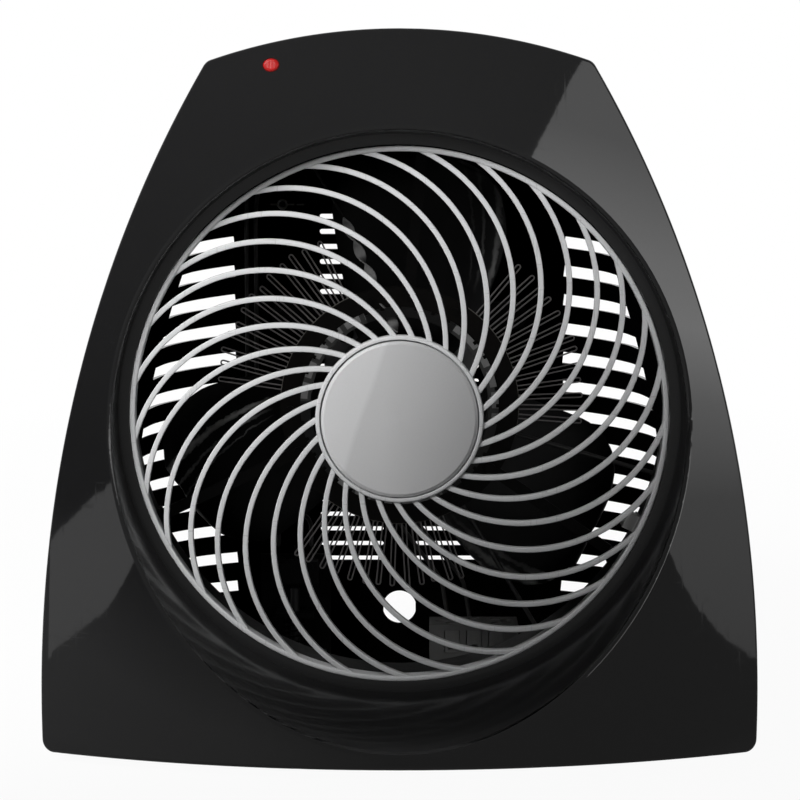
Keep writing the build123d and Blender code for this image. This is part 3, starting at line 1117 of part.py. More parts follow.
def lead(bends, *points):
    """Round insulated lead: straight runs joined by tangent bends of the given radii."""
    corners = [Vector(*point) for point in points]
    with BuildLine(mode=Mode.PRIVATE) as run:
        start = corners[0]
        for index, bend in enumerate(bends, 1):
            back = (corners[index - 1] - corners[index]).normalized()
            ahead = (corners[index + 1] - corners[index]).normalized()
            half = radians(back.get_angle(ahead) / 2)
            inward = (back + ahead).normalized()
            enter = corners[index] + back * (bend / tan(half))
            leave = corners[index] + ahead * (bend / tan(half))
            Line(start, enter)
            ThreePointArc(enter, corners[index] + inward * (bend / sin(half) - bend), leave)
            start = leave
        Line(start, corners[-1])
    route = run.wires()[0]
    with BuildSketch(Plane(origin=route @ 0, z_dir=route % 0), mode=Mode.PRIVATE) as round_section:
        Circle(LEAD_R)
    sweep(round_section.sketch, path=route)


with BuildPart() as motor_leads:
    for offset, x in ((-4, BLOCK_X - 9.5), (4, BLOCK_X)):
        lead((14, 14, 6), (offset, CORE_Y + 12, AXIS_Z - CORE_SIZE / 2 - 0.4), (offset + 3, CORE_Y + 14, 70),
             (x - 4, BLOCK_Y + 22, 42), (x, BLOCK_Y + 22, CLAMP_Z), (x, BLOCK_Y + 6.6, CLAMP_Z))
save(motor_leads, "motor_leads")

with BuildPart() as element_leads:
    near = SECTOR_ANGLES[2] + PIN_ANGLE
    far = SECTOR_ANGLES[0] - PIN_ANGLE
    pin_end_y = BEAD_Y + BEAD_LENGTH + 4 + FIT
    for angle, x, drop_y, bends, way in (
            (near, BLOCK_X, 24, (14, 12), ()),
            (far, BLOCK_X + 9.5, 30, (14, 14, 12), ((BLOCK_X + 48, 36, 30),))):
        pin = polar(PIN_AT, angle)
        edge = polar(DUCT_R + 11, angle)
        lead((1.6, 8, *bends), (pin[0], pin_end_y, AXIS_Z + pin[1]), (pin[0], pin_end_y + 3, AXIS_Z + pin[1]),
             (edge[0], pin_end_y + 4, AXIS_Z + edge[1]), (edge[0], drop_y, AXIS_Z + edge[1]), *way,
             (x, BLOCK_Y - 22, CLAMP_Z), (x, BLOCK_Y - 6.6, CLAMP_Z))
save(element_leads, "element_leads")

with BuildPart() as switch_leads:
    for side in (-1, 1):
        tab_x = -KNOB_X + side * 6.4
        end_x = PLUNGER_X + side * 7
        lead((5, 12, 12, 10, 4.5), (end_x, PLUNGER_Y, SWITCH_Z + SWITCH_TALL + 6.4),
             (end_x, PLUNGER_Y, SWITCH_Z + SWITCH_TALL + 17), (2 * side - 64, 80, 90), (2 * side - 64, 80, 205),
             (3 * side - 62, 64 + 3 * side, TOP_Z - 62), (tab_x, PANEL_Y - 12, TOP_Z - 51.5),
             (tab_x, PANEL_Y - 10.5, TOP_Z - 45.6))
save(switch_leads, "switch_leads")
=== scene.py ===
from math import acos, cos, pi, radians, sin, sqrt, tan
from random import Random

import bmesh
import bpy
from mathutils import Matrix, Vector


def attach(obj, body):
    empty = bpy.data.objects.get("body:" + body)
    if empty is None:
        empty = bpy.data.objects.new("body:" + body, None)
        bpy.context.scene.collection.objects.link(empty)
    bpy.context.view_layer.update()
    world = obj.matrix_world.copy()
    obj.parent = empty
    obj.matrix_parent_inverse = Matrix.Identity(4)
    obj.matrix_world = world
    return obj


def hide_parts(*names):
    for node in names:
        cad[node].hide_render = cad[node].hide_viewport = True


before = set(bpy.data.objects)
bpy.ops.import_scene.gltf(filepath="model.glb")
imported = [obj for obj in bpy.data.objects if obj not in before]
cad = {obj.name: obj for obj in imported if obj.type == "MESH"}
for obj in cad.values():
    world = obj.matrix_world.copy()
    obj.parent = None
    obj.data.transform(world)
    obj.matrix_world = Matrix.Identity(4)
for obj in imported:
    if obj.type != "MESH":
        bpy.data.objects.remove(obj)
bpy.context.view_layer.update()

AXIS_Z = 0.1308


# ---------------------------------------------------------------- cabinet
# Two deep shells injection moulded in black ABS and polished to a piano gloss.
# The front one carries the round dish, the rear one the louvred vents and the control pocket.
# They meet on a tongued seam and are held by four screws in wells driven from the back.
FACE_FOOT_Y = -0.100
FACE_FOOT_Z = 0.004
FACE_LEAN = radians(8)
FACE_BOW_R = 0.340
DISH_R = 0.130
DISH_LIP = 0.0014
SHELL_MIDDLE_Y = 0.02


class Wire:
    """A socket in a finish. Sums and products of wires add Math nodes."""

    def __init__(self, finish, socket):
        self.finish = finish
        self.socket = socket

    def math(self, operation, first, second=0.0, clamp=False):
        settings = {"operation": operation, "use_clamp": clamp}
        return self.finish.node("Math", settings, {0: first, 1: second})

    def __add__(self, other):
        return self.math("ADD", self, other)

    def __sub__(self, other):
        return self.math("SUBTRACT", self, other)

    def __rsub__(self, other):
        return self.math("SUBTRACT", other, self)

    def __mul__(self, other):
        return self.math("MULTIPLY", self, other)

    def __truediv__(self, other):
        return self.math("DIVIDE", self, other)

    def __pow__(self, other):
        return self.math("POWER", self, other)

    def __mod__(self, other):
        return self.math("FLOORED_MODULO", self, other)

    def __abs__(self):
        return self.math("ABSOLUTE", self)

    def __gt__(self, other):
        return self.math("GREATER_THAN", self, other)

    def __lt__(self, other):
        return self.math("LESS_THAN", self, other)

    __radd__ = __add__
    __rmul__ = __mul__

    def wave(self):
        """Sine of the value, from 0 to 1."""
        return self.math("SINE", self) * 0.5 + 0.5

    def clamped(self):
        return self.math("ADD", self, 0.0, clamp=True)

    def over(self, other):
        """The larger of two values."""
        return self.math("MAXIMUM", self, other)

    def angle(self, across):
        """Angle of the place (across, self), from the first axis."""
        return self.math("ARCTAN2", self, across)

    def scaled(self, x, y, z):
        """A vector stretched along its axes."""
        return self.finish.node("VectorMath", {"operation": "MULTIPLY"}, {0: self, 1: (x, y, z)})


class Finish:
    """A procedural material, with the place on the piece in metres."""

    def __init__(self, name, **fixed):
        self.material = bpy.data.materials.new(name)
        self.material.use_nodes = True
        self.tree = self.material.node_tree
        self.shader = self.tree.nodes["Principled BSDF"]
        self.fix(self.shader, fixed)
        self.place = self.node("TexCoord", output="Object")

    def fix(self, made, values):
        for label, value in values.items():
            socket = made.inputs[label.replace("_", " ") if isinstance(label, str) else label]
            if isinstance(value, Wire):
                self.tree.links.new(value.socket, socket)
            else:
                socket.default_value = value

    def node(self, kind, settings=None, inputs=None, output=0):
        """Adds a node: settings first, then values or wires on its sockets."""
        made = self.tree.nodes.new("ShaderNode" + kind)
        for label, value in (settings or {}).items():
            if label == "stops":
                for index, (at, colour) in enumerate(value):
                    stop = made.color_ramp.elements[index] if index < 2 else made.color_ramp.elements.new(at)
                    stop.position = at
                    stop.color = (*colour, 1)
            else:
                setattr(made, label, value)
        self.fix(made, inputs or {})
        return Wire(self, made.outputs[output])

    def axes(self, vector=None):
        """The three parts of a vector as wires."""
        parts = self.node("SeparateXYZ", None, {0: vector or self.place})
        return [Wire(self, socket) for socket in parts.socket.node.outputs]

    def round_axis(self):
        """The place counted from the fan axis, and how far out from that axis it is."""
        x, y, z = self.axes()
        z = z - AXIS_Z
        return x, y, z, (x * x + z * z) ** 0.5

    def noise(self, per_metre, detail=3.0, rough=0.5, stretch=(1, 1, 1)):
        place = self.place.scaled(*(per_metre * axis for axis in stretch))
        inputs = {"Vector": place, "Scale": 1.0, "Detail": detail, "Roughness": rough}
        return self.node("TexNoise", None, inputs)

    def cells(self, per_metre):
        return self.node("TexVoronoi", None, {"Vector": self.place, "Scale": per_metre})

    def blend(self, mask, low, high):
        """Colour between two colours or wires."""
        low = (*low, 1) if isinstance(low, tuple) else low
        high = (*high, 1) if isinstance(high, tuple) else high
        return self.node("Mix", {"data_type": "RGBA"}, {0: mask, 6: low, 7: high}, output=2)

    def bump(self, height, depth, strength):
        return self.node("Bump", None, {"Height": height, "Distance": depth, "Strength": strength})

    def show(self, surface):
        """Puts a made-up surface in place of the plain shader."""
        self.tree.links.new(surface.socket, self.tree.nodes["Material Output"].inputs["Surface"])

    def feed(self, **wires):
        """Feeds the shader's sockets and gives the finished material."""
        self.fix(self.shader, wires)
        return self.material


def dress(finish, *names):
    """Gives CAD nodes a finish in place of the plain one they came with."""
    for name in names:
        for held in cad[name].material_slots:
            held.material = finish


def wear(finish, per_metre=900):
    """Fine scuffs: thin bright lines where two stretched noises meet."""
    across = finish.noise(per_metre, 2.0, 0.6, (1.0, 0.12, 0.05))
    along = finish.noise(per_metre, 2.0, 0.6, (0.07, 0.2, 1.0))
    return ((across > 0.665) + (along > 0.675)).clamped()


def polished_black(name, lined=False):
    """Piano gloss on the face, satin in the dish; the inside of a lined shell is left matt, with a darker
    tint than the face that is painted shade.
    """
    finish = Finish(name, IOR=1.5, Coat_Roughness=0.02, Coat_IOR=1.5)
    x, y, z, reach = finish.round_axis()
    face = (z + (AXIS_Z - FACE_FOOT_Z)) * tan(FACE_LEAN) + x * x / (2 * FACE_BOW_R) + FACE_FOOT_Y
    satin_bowl = ((y - face - DISH_LIP) / 0.0008).clamped() * (reach < DISH_R)
    cloud = finish.noise(14, 4.0)
    smudge = finish.noise(55, 5.0, 0.62)
    grain = finish.noise(2600, 2.0)
    peel = finish.noise(260, 1.0)
    scuffs = wear(finish)
    dust = (finish.cells(1900) < 0.10) * (finish.noise(90, 2.0) > 0.56)
    tint = finish.blend(cloud, (0.0044, 0.0044, 0.0046), (0.0070, 0.0070, 0.0073))
    tint = finish.blend(dust * 0.25, tint, (0.10, 0.10, 0.10))
    rough = smudge * 0.015 + grain * 0.006 + scuffs * 0.04 + dust * 0.25 + satin_bowl * 0.3 + 0.012
    normal = finish.bump(peel * (satin_bowl * 0.4 + 0.2) - scuffs * 0.02, 0.00002, 0.4)
    if lined:
        geometry = finish.node("NewGeometry", output="Normal")
        across, along, up = finish.axes(geometry)
        inward = (x * across + (y - SHELL_MIDDLE_Y) * along + z * up) < 0.0
        # The inside is matt, and its tint is darker than the face's as painted shade.
        matt = finish.node("BsdfDiffuse", None, {"Color": (0.0016, 0.0016, 0.0017, 1), "Roughness": 0.4})
        gloss = Wire(finish, finish.shader.outputs[0])
        finish.show(finish.node("MixShader", None, {0: inward, 1: gloss, 2: matt}))
    return finish.feed(Base_Color=tint, Roughness=rough, Coat_Weight=satin_bowl * 0.2, Normal=normal)


dress(polished_black("polished_black"), "front_shell")
dress(polished_black("polished_black_lined", lined=True), "rear_shell")


# ---------------------------------------------------------------- grille
# Ring, hub cup and 29 bowed ribs in one ABS moulding, sprayed silver.
# Four lugs on the ring are screwed to the back of the dish.
RIBS = 29
RING_R = 0.1037
RING_WIDE = 0.0021
RING_Y = -0.050
RING_FRONT_Y = RING_Y - 0.0022
RING_BACK_Y = RING_Y + 0.005
HUB_R = 0.0322
HUB_Y = RING_Y - 0.010
HUB_BORE_R = 0.0032
HUB_DEEP = 0.005
CUP_R = 0.0305
CUP_DEEP = 0.0026
RIB_WIDE = 0.00205
RIB_DEEP = 0.0032
RIB_EDGE = 0.0004
RIB_STEPS = 44
DOME_RISE = 0.0082
BOW_R = 0.0594
BOW_OFFSET = 0.0505
BOW_ANGLE = radians(83.8)
LUG_R = 0.113
LUG_HALF = 0.0045
LUG_THICK = 0.002
LUG_HOLE_R = 0.0017
LUG_ANGLES = (20, 160, 200, 340)


def placed(name, data):
    """A new object, linked into the scene."""
    made = bpy.data.objects.new(name, data)
    bpy.context.scene.collection.objects.link(made)
    return made


def piece(name, points, faces, body, slot, finish, smooth_angle=35):
    """One finished mesh piece, smooth where its faces meet gently."""
    mesh = bpy.data.meshes.new(name)
    mesh.from_pydata([tuple(point) for point in points], [], faces)
    mesh.validate()
    work = bmesh.new()
    work.from_mesh(mesh)
    bmesh.ops.recalc_face_normals(work, faces=work.faces)
    for edge in work.edges:
        edge.smooth = len(edge.link_faces) == 2 and edge.calc_face_angle(0) < radians(smooth_angle)
    for face in work.faces:
        face.smooth = True
    work.to_mesh(mesh)
    work.free()
    mesh.materials.append(finish)
    made = placed(name, mesh)
    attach(made, body)
    return made


def rounded(width, depth, radius, steps=4):
    """Closed outline of a rounded rectangle about its middle."""
    points = []
    for quarter, (sx, sy) in enumerate(((1, 1), (-1, 1), (-1, -1), (1, -1))):
        for step in range(steps + 1):
            turn = (quarter + step / steps) * pi / 2
            points.append((sx * (width / 2 - radius) + radius * cos(turn),
                           sy * (depth / 2 - radius) + radius * sin(turn)))
    return points


def swept(path, sides, fronts, outline, closed=False):
    """Points and faces of an outline carried along a path."""
    points, faces, count = [], [], len(outline)
    for spot, side, front in zip(path, sides, fronts):
        points += [spot + side * u + front * v for u, v in outline]
    rows = len(path)
    for row in range(rows if closed else rows - 1):
        below, above = row * count, (row + 1) % rows * count
        for k in range(count):
            n = (k + 1) % count
            faces.append((below + k, below + n, above + n, above + k))
    if not closed:
        faces.append(tuple(range(count)))
        faces.append(tuple(range((rows - 1) * count, rows * count)))
    return points, faces


def turned(outline, steps=96):
    """Points and faces of a closed (radius, y) outline turned about the fan axis."""
    path, sides, fronts = [], [], []
    for step in range(steps):
        turn = 2 * pi * step / steps
        path.append(Vector((0, 0, AXIS_Z)))
        sides.append(Vector((cos(turn), 0, sin(turn))))
        fronts.append(Vector((0, 1, 0)))
    return swept(path, sides, fronts, outline, closed=True)


def gathered(parts):
    """Several sets of points and faces as one."""
    points, faces = [], []
    for more_points, more_faces in parts:
        start = len(points)
        points += more_points
        faces += [tuple(start + k for k in face) for face in more_faces]
    return points, faces


def eased(outline, radius, steps=3):
    """A closed outline with its corners rounded."""
    points, count = [], len(outline)
    for k in range(count):
        corner = Vector(outline[k])
        back = Vector(outline[k - 1]) - corner
        ahead = Vector(outline[(k + 1) % count]) - corner
        reach = min(radius, back.length * 0.45, ahead.length * 0.45)
        start, end = corner + back.normalized() * reach, corner + ahead.normalized() * reach
        for step in range(steps + 1):
            t = step / steps
            points.append(tuple(start * (1 - t) ** 2 + corner * 2 * t * (1 - t) + end * t ** 2))
    return points


def dome_y(radius):
    """Front of the ribs at a distance from the axis: a shallow dome over the fan."""
    bow = (RING_R ** 2 + DOME_RISE ** 2) / (2 * DOME_RISE)
    return HUB_Y + RIB_EDGE + bow - sqrt(bow ** 2 - radius ** 2)


def rib(index):
    """One rib: an arc from the hub to the ring, laid on the dome."""
    start = BOW_ANGLE + index * 2 * pi / RIBS
    path = []
    for step in range(RIB_STEPS + 1):
        radius = HUB_R - 0.001 + (RING_R - HUB_R) * step / RIB_STEPS
        turn = start - acos((radius ** 2 + BOW_OFFSET ** 2 - BOW_R ** 2) / (2 * radius * BOW_OFFSET))
        path.append(Vector((radius * cos(turn), dome_y(radius) + RIB_DEEP / 2, AXIS_Z + radius * sin(turn))))
    sides, fronts = [], []
    for k, spot in enumerate(path):
        along = (path[min(k + 1, RIB_STEPS)] - path[max(k - 1, 0)]).normalized()
        side = along.cross(Vector((0, 1, 0))).normalized()
        sides.append(side)
        fronts.append(side.cross(along).normalized())
    return swept(path, sides, fronts, rounded(RIB_WIDE, RIB_DEEP, RIB_EDGE))


def sprayed_silver():
    finish = Finish("sprayed_silver", IOR=1.5, Coat_Weight=0.15, Coat_Roughness=0.2)
    flake = finish.cells(5200)
    cloud = finish.noise(45, 4.0)
    grain = finish.noise(3400, 2.0)
    scuffs = wear(finish, 1300)
    tint = finish.blend(flake * 0.6 + cloud * 0.4, (0.55, 0.555, 0.56), (0.66, 0.665, 0.67))
    tint = finish.blend(scuffs * 0.3, tint, (0.25, 0.25, 0.255))
    rough = cloud * 0.08 + grain * 0.06 + scuffs * 0.08 + 0.32
    normal = finish.bump(grain * 0.5 + flake * 0.3, 0.00003, 0.4)
    return finish.feed(Base_Color=tint, Roughness=rough, Normal=normal, Metallic=flake * 0.15 + 0.05)


def plate(outline, holes, y0, y1, edge=0.0002):
    """Points and faces of a flat sheet in an upright plane, with its edges eased."""
    curve = bpy.data.curves.new("cut", "CURVE")
    curve.dimensions = "2D"
    curve.fill_mode = "BOTH"
    curve.extrude = (y1 - y0) / 2 - edge
    curve.bevel_depth = edge
    curve.bevel_resolution = 1
    for loop in [outline, *holes]:
        spline = curve.splines.new("POLY")
        spline.points.add(len(loop) - 1)
        for point, (u, v) in zip(spline.points, loop):
            point.co = (u, v, 0, 1)
        spline.use_cyclic_u = True
    holder = bpy.data.objects.new("cut", curve)
    mesh = bpy.data.meshes.new_from_object(holder)
    middle = (y0 + y1) / 2
    points = [Vector((v.co.x, middle - v.co.z, AXIS_Z + v.co.y)) for v in mesh.vertices]
    faces = [tuple(face.vertices) for face in mesh.polygons]
    bpy.data.objects.remove(holder)
    bpy.data.curves.remove(curve)
    bpy.data.meshes.remove(mesh)
    return points, faces


def circle(x, z, radius, steps=32, start=0.0, stop=2 * pi):
    return [(x + radius * cos(start + (stop - start) * k / steps),
             z + radius * sin(start + (stop - start) * k / steps)) for k in range(steps)]


def lug(angle):
    """A round-ended ear on the ring, with a screw hole."""
    turn = radians(angle)
    spot = (LUG_R * cos(turn), LUG_R * sin(turn))
    out, across = (cos(turn), sin(turn)), (-sin(turn), cos(turn))
    root = RING_R - 0.0006
    outline = [(out[0] * root + across[0] * half, out[1] * root + across[1] * half)
               for half in (LUG_HALF, -LUG_HALF)]
    outline += circle(*spot, LUG_HALF, 16, turn - pi / 2, turn + pi / 2)
    return plate(outline, [circle(*spot, LUG_HOLE_R, 20)], RING_BACK_Y - LUG_THICK, RING_BACK_Y)


silver = sprayed_silver()
ring_outline = eased([(RING_R - RING_WIDE, RING_FRONT_Y), (RING_R, RING_FRONT_Y),
                      (RING_R, RING_BACK_Y), (RING_R - RING_WIDE, RING_BACK_Y)], 0.0007)
hub_outline = eased([(HUB_BORE_R, HUB_Y + CUP_DEEP), (CUP_R, HUB_Y + CUP_DEEP), (CUP_R, HUB_Y),
                     (HUB_R - 0.0003, HUB_Y + 0.0002), (HUB_R, HUB_Y + 0.0012), (HUB_R, HUB_Y + HUB_DEEP),
                     (HUB_BORE_R, HUB_Y + HUB_DEEP)], 0.0004)
piece("grille_ribs", *gathered([rib(index) for index in range(RIBS)]), "cabinet", "silver_satin", silver)
grille_ring = piece("grille_ring", *turned(ring_outline, 160), "cabinet", "silver_satin", silver)
piece("grille_hub", *turned(hub_outline, 128), "cabinet", "silver_satin", silver)
piece("grille_lugs", *gathered([lug(angle) for angle in LUG_ANGLES]), "cabinet", "silver_satin", silver)
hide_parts("front_grille")


# ---------------------------------------------------------------- hub badge
# A thin aluminium disc, spun so that fine rings run round it. Its colour carries painted light: a painted
# bow-tie sheen on the rings, and a painted reflection that is pale on the left of a slanting edge and shades
# darker towards the right.
# It is glued in the hub cup and left bare.
def spun_disc():
    finish = Finish("spun_disc", IOR=1.5, Metallic=0.25)
    x, y, z, reach = finish.round_axis()
    rings = (reach * 26000).wave()
    uneven = finish.noise(1500, 3.0)
    # Painted bow-tie highlight of the spun rings, run into the colour.
    sheen = (z.angle(x) * 2.0 + 0.9).wave()
    cloud = finish.noise(60, 3.0)
    # Painted reflection and shade: pale left of a slanting edge, darker towards the right.
    painted_reflection_edge = ((x + 0.0142 - z * 0.314 + sheen * 0.001) / 0.0022 + 0.5).clamped()
    shade = painted_reflection_edge * 0.35 + ((x + 0.006) / 0.036).clamped() * 0.65
    pale = finish.blend(rings * 0.4 + uneven * 0.4 + sheen * 0.2, (0.61, 0.61, 0.615), (0.71, 0.71, 0.715))
    deep = finish.blend(uneven * 0.5 + rings * 0.5, (0.37, 0.37, 0.375), (0.44, 0.44, 0.445))
    tint = finish.blend(shade, pale, deep)
    rough = rings * 0.05 + cloud * 0.08 + 0.38
    normal = finish.bump(rings * 0.6 + uneven * 0.4, 0.000012, 0.5)
    return finish.feed(Base_Color=tint, Roughness=rough, Normal=normal)


dress(spun_disc(), "centre_badge")


# ---------------------------------------------------------------- indicator light
# A red lens of clear moulded acrylic pressed into the fascia from behind.
# A neon bulb stands behind it in a black clip-on holder.
def red_acrylic():
    finish = Finish("red_acrylic", IOR=1.49, Transmission_Weight=0.35, Emission_Strength=0.08)
    x, y, z = finish.axes()
    ribs = (x * 5200).wave()
    cloud = finish.noise(420, 3.0)
    tint = finish.blend(cloud, (0.36, 0.006, 0.006), (0.52, 0.014, 0.012))
    rough = cloud * 0.08 + ribs * 0.05 + 0.12
    normal = finish.bump(ribs * 0.6 + cloud * 0.4, 0.00008, 0.5)
    glow = finish.blend(cloud, (0.55, 0.01, 0.008), (0.8, 0.03, 0.02))
    return finish.feed(Base_Color=tint, Roughness=rough, Normal=normal, Emission_Color=glow)


def bulb_glass():
    finish = Finish("bulb_glass", IOR=1.5, Transmission_Weight=0.85)
    haze = finish.noise(800, 3.0)
    tint = finish.blend(haze, (0.95, 0.72, 0.55), (0.9, 0.55, 0.35))
    return finish.feed(Base_Color=tint, Roughness=haze * 0.1 + 0.03,
                       Normal=finish.bump(haze, 0.00005, 0.3))


def satin_black(name, low, high, gloss, ior):
    """Moulded plastic with a spark-eroded grain."""
    finish = Finish(name, IOR=ior)
    pits = finish.cells(2400)
    grain = finish.noise(3000, 3.0)
    cloud = finish.noise(70, 4.0)
    scuffs = wear(finish, 1100)
    tint = finish.blend(cloud * 0.6 + grain * 0.4, low, high)
    tint = finish.blend(scuffs * 0.2, tint, tuple(3 * part for part in high))
    rough = grain * 0.1 + cloud * 0.08 + gloss
    normal = finish.bump(pits * 0.6 + grain * 0.4, 0.00005, 0.5)
    return finish.feed(Base_Color=tint, Roughness=rough, Normal=normal)


moulded = satin_black("satin_black", (0.014, 0.014, 0.0145), (0.024, 0.024, 0.025), 0.38, 1.48)
inner_black = satin_black("inner_black", (0.0022, 0.0022, 0.0023), (0.0045, 0.0045, 0.0046), 0.5, 1.2)
dress(red_acrylic(), "indicator_lens")
dress(bulb_glass(), "indicator_lamp")
dress(moulded, "lamp_holder")


# ---------------------------------------------------------------- air duct
# A rolled steel sleeve behind the dish, stove enamelled black and flared at the fan end.
# It seats on the back of the dish and is screwed there by lugs of its own.
DUCT_BLACK = (0.0022, 0.0022, 0.0022), (0.0042, 0.0042, 0.0042), 1.2


def stove_enamel(name, low, high, ior):
    finish = Finish(name, IOR=ior)
    peel = finish.noise(700, 2.0)
    cloud = finish.noise(40, 4.0)
    soot = finish.noise(140, 5.0, 0.65)
    tint = finish.blend(cloud * 0.5 + soot * 0.5, low, high)
    rough = soot * 0.16 + peel * 0.06 + 0.34
    normal = finish.bump(peel * 0.8 + soot * 0.2, 0.00005, 0.5)
    return finish.feed(Base_Color=tint, Roughness=rough, Normal=normal)


dress(stove_enamel("stove_enamel", *DUCT_BLACK), "air_duct")


# ---------------------------------------------------------------- heating element
# Resistance wire folded into hairpins and clamped between two mica rings in three groups.
# A notched steel drum holds the rings; three riveted steel legs carry it in the duct.
COIL_Y = -0.0135
COIL_IN_R = 0.0410
COIL_OUT_R = 0.0738
WIRE_R = 0.00032
MICA_R = 0.0476
PINS = 13
PITCH = radians(4.55)
LEG_HALF_GAP = 0.00085
GROUPS = (22, 144, 263)
GROUP_HALF = radians(33)
TABS = 28
TAB_ROOT_R = 0.0368


def hairpin_line(centre, rng):
    """Centre line of one folded wire: narrow hairpins with round tips, joined under the mica."""
    line = []
    for index in range(PINS):
        middle = radians(centre) + (index - (PINS - 1) / 2) * PITCH
        sway = rng.uniform(-0.0009, 0.0009)
        tip = COIL_OUT_R - rng.uniform(0.0, 0.0022)
        lean = rng.uniform(-0.012, 0.012)
        steps = [k / 6 for k in range(7)]
        for side, course in ((-1, steps), (1, steps[::-1])):
            for t in course:
                radius = COIL_IN_R + (tip - COIL_IN_R) * t
                free = max(0.0, (radius - MICA_R) / (tip - MICA_R))
                line.append((radius, middle + lean * free + side * LEG_HALF_GAP / radius, sway * free))
            if side < 0:
                for k in range(1, 8):
                    swing = pi * k / 8
                    turn = middle + lean - LEG_HALF_GAP * cos(swing) / tip
                    line.append((tip + LEG_HALF_GAP * sin(swing), turn, sway))
        if index < PINS - 1:
            half = PITCH / 2 - LEG_HALF_GAP / COIL_IN_R
            for k in range(1, 6):
                swing = pi * k / 6
                line.append((COIL_IN_R - 0.001 * sin(swing), middle + PITCH / 2 - half * cos(swing), 0.0))
    return line


def tube(line, radius, steps=8):
    """Round bar along a line of points."""
    sides, fronts = [], []
    side = None
    for k, spot in enumerate(line):
        along = (line[min(k + 1, len(line) - 1)] - line[max(k - 1, 0)]).normalized()
        guide = side or (Vector((0, 1, 0)) if abs(along.y) < 0.9 else Vector((1, 0, 0))).cross(along)
        side = (guide - along * guide.dot(along)).normalized()
        sides.append(side)
        fronts.append(along.cross(side).normalized())
    outline = [(radius * cos(2 * pi * k / steps), radius * sin(2 * pi * k / steps)) for k in range(steps)]
    return swept(line, sides, fronts, outline)


def resistance_wire():
    finish = Finish("resistance_wire", IOR=1.5, Metallic=0.7)
    scale = finish.noise(900, 4.0)
    heat = finish.noise(80, 2.0)
    tint = finish.blend(scale, (0.11, 0.107, 0.104), (0.24, 0.23, 0.22))
    tint = finish.blend(heat * 0.3, tint, (0.16, 0.13, 0.17))
    return finish.feed(Base_Color=tint, Roughness=scale * 0.2 + 0.4, Normal=finish.bump(scale, 0.00004, 0.5))


oxidised = resistance_wire()
for number, centre in enumerate(GROUPS, 1):
    rng = Random(number)
    line = [Vector((r * cos(t), COIL_Y + s, AXIS_Z + r * sin(t))) for r, t, s in hairpin_line(centre, rng)]
    coil = piece("element_wire_%d" % number, *tube(line, WIRE_R), "cabinet", "coil_wire", oxidised, 60)
    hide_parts("heating_coil_%d" % number)


def beside_wires(x, z, reach):
    """1 in the sectors that carry wire."""
    first, second, third = [(x * cos(radians(middle)) + z * sin(radians(middle))) > reach * cos(GROUP_HALF)
                            for middle in GROUPS]
    return first.over(second).over(third)


def mica_sheet():
    finish = Finish("mica_sheet", IOR=1.2)
    x, y, z, reach = finish.round_axis()
    flakes = finish.cells(340)
    layers = finish.noise(160, 5.0, 0.6)
    cut_edge = (reach > MICA_R - 0.0002) * beside_wires(x, z, reach)
    tint = finish.blend(layers * 0.6 + flakes * 0.4, (0.0012, 0.0011, 0.001), (0.0034, 0.0031, 0.0028))
    tint = finish.blend(cut_edge * 0.8, tint, (0.12, 0.115, 0.105))
    rough = flakes * 0.2 + layers * 0.1 + 0.45
    return finish.feed(Base_Color=tint, Roughness=rough, Normal=finish.bump(layers + flakes, 0.00006, 0.5))


def notched_steel():
    """Plated flange with pressed windows: pale tabs with dark gaps, near black between the wire groups."""
    finish = Finish("notched_steel", IOR=1.5, Metallic=0.3)
    x, y, z, reach = finish.round_axis()
    blotch = finish.noise(420, 4.0, 0.6)
    tabs = ((z.angle(x) * TABS - 0.154).wave() > 0.13) * (reach > TAB_ROOT_R)
    tint = finish.blend(blotch, (0.018, 0.018, 0.018), (0.036, 0.036, 0.035))
    tint = finish.blend(tabs, tint, finish.blend(blotch, (0.11, 0.11, 0.11), (0.18, 0.179, 0.177)))
    tint = finish.blend(beside_wires(x, z, reach), (0.003, 0.003, 0.003), tint)
    return finish.feed(Base_Color=tint, Roughness=blotch * 0.2 + 0.35,
                       Normal=finish.bump(blotch, 0.00005, 0.4))


def burnt_steel():
    """Thin steel parts that have run hot: a matt, almost black oxide."""
    finish = Finish("burnt_steel", IOR=1.2)
    scale = finish.noise(600, 4.0, 0.6)
    tint = finish.blend(scale, (0.0009, 0.0009, 0.0009), (0.0026, 0.0024, 0.0023))
    return finish.feed(Base_Color=tint, Roughness=scale * 0.2 + 0.45, Normal=finish.bump(scale, 0.00004, 0.5))


def bright_zinc():
    finish = Finish("bright_zinc", IOR=2.0, Metallic=1.0)
    spangle = finish.cells(420)
    cloud = finish.noise(300, 4.0)
    tint = finish.blend(spangle * 0.5 + cloud * 0.5, (0.44, 0.44, 0.42), (0.66, 0.66, 0.65))
    rough = cloud * 0.16 + spangle * 0.08 + 0.20
    return finish.feed(Base_Color=tint, Roughness=rough, Normal=finish.bump(cloud, 0.00003, 0.5))


def fired_ceramic(name, low, high):
    finish = Finish(name, IOR=1.55)
    speck = finish.cells(1500)
    cloud = finish.noise(200, 4.0)
    tint = finish.blend(cloud, low, high)
    tint = finish.blend((speck < 0.12) * 0.4, tint, tuple(part * 0.5 for part in low))
    normal = finish.bump(cloud + speck, 0.00005, 0.5)
    return finish.feed(Base_Color=tint, Roughness=cloud * 0.15 + 0.55, Normal=normal)


zinc = bright_zinc()
burnt = burnt_steel()
dress(mica_sheet(), "mica_front", "mica_rear")
dress(notched_steel(), "element_drum")
dress(burnt, "element_legs", "mica_rivets", "element_screws")
dress(fired_ceramic("sooted_ceramic", (0.05, 0.047, 0.043), (0.09, 0.086, 0.08)), "ceramic_beads")
dress(zinc, "inner_screws")


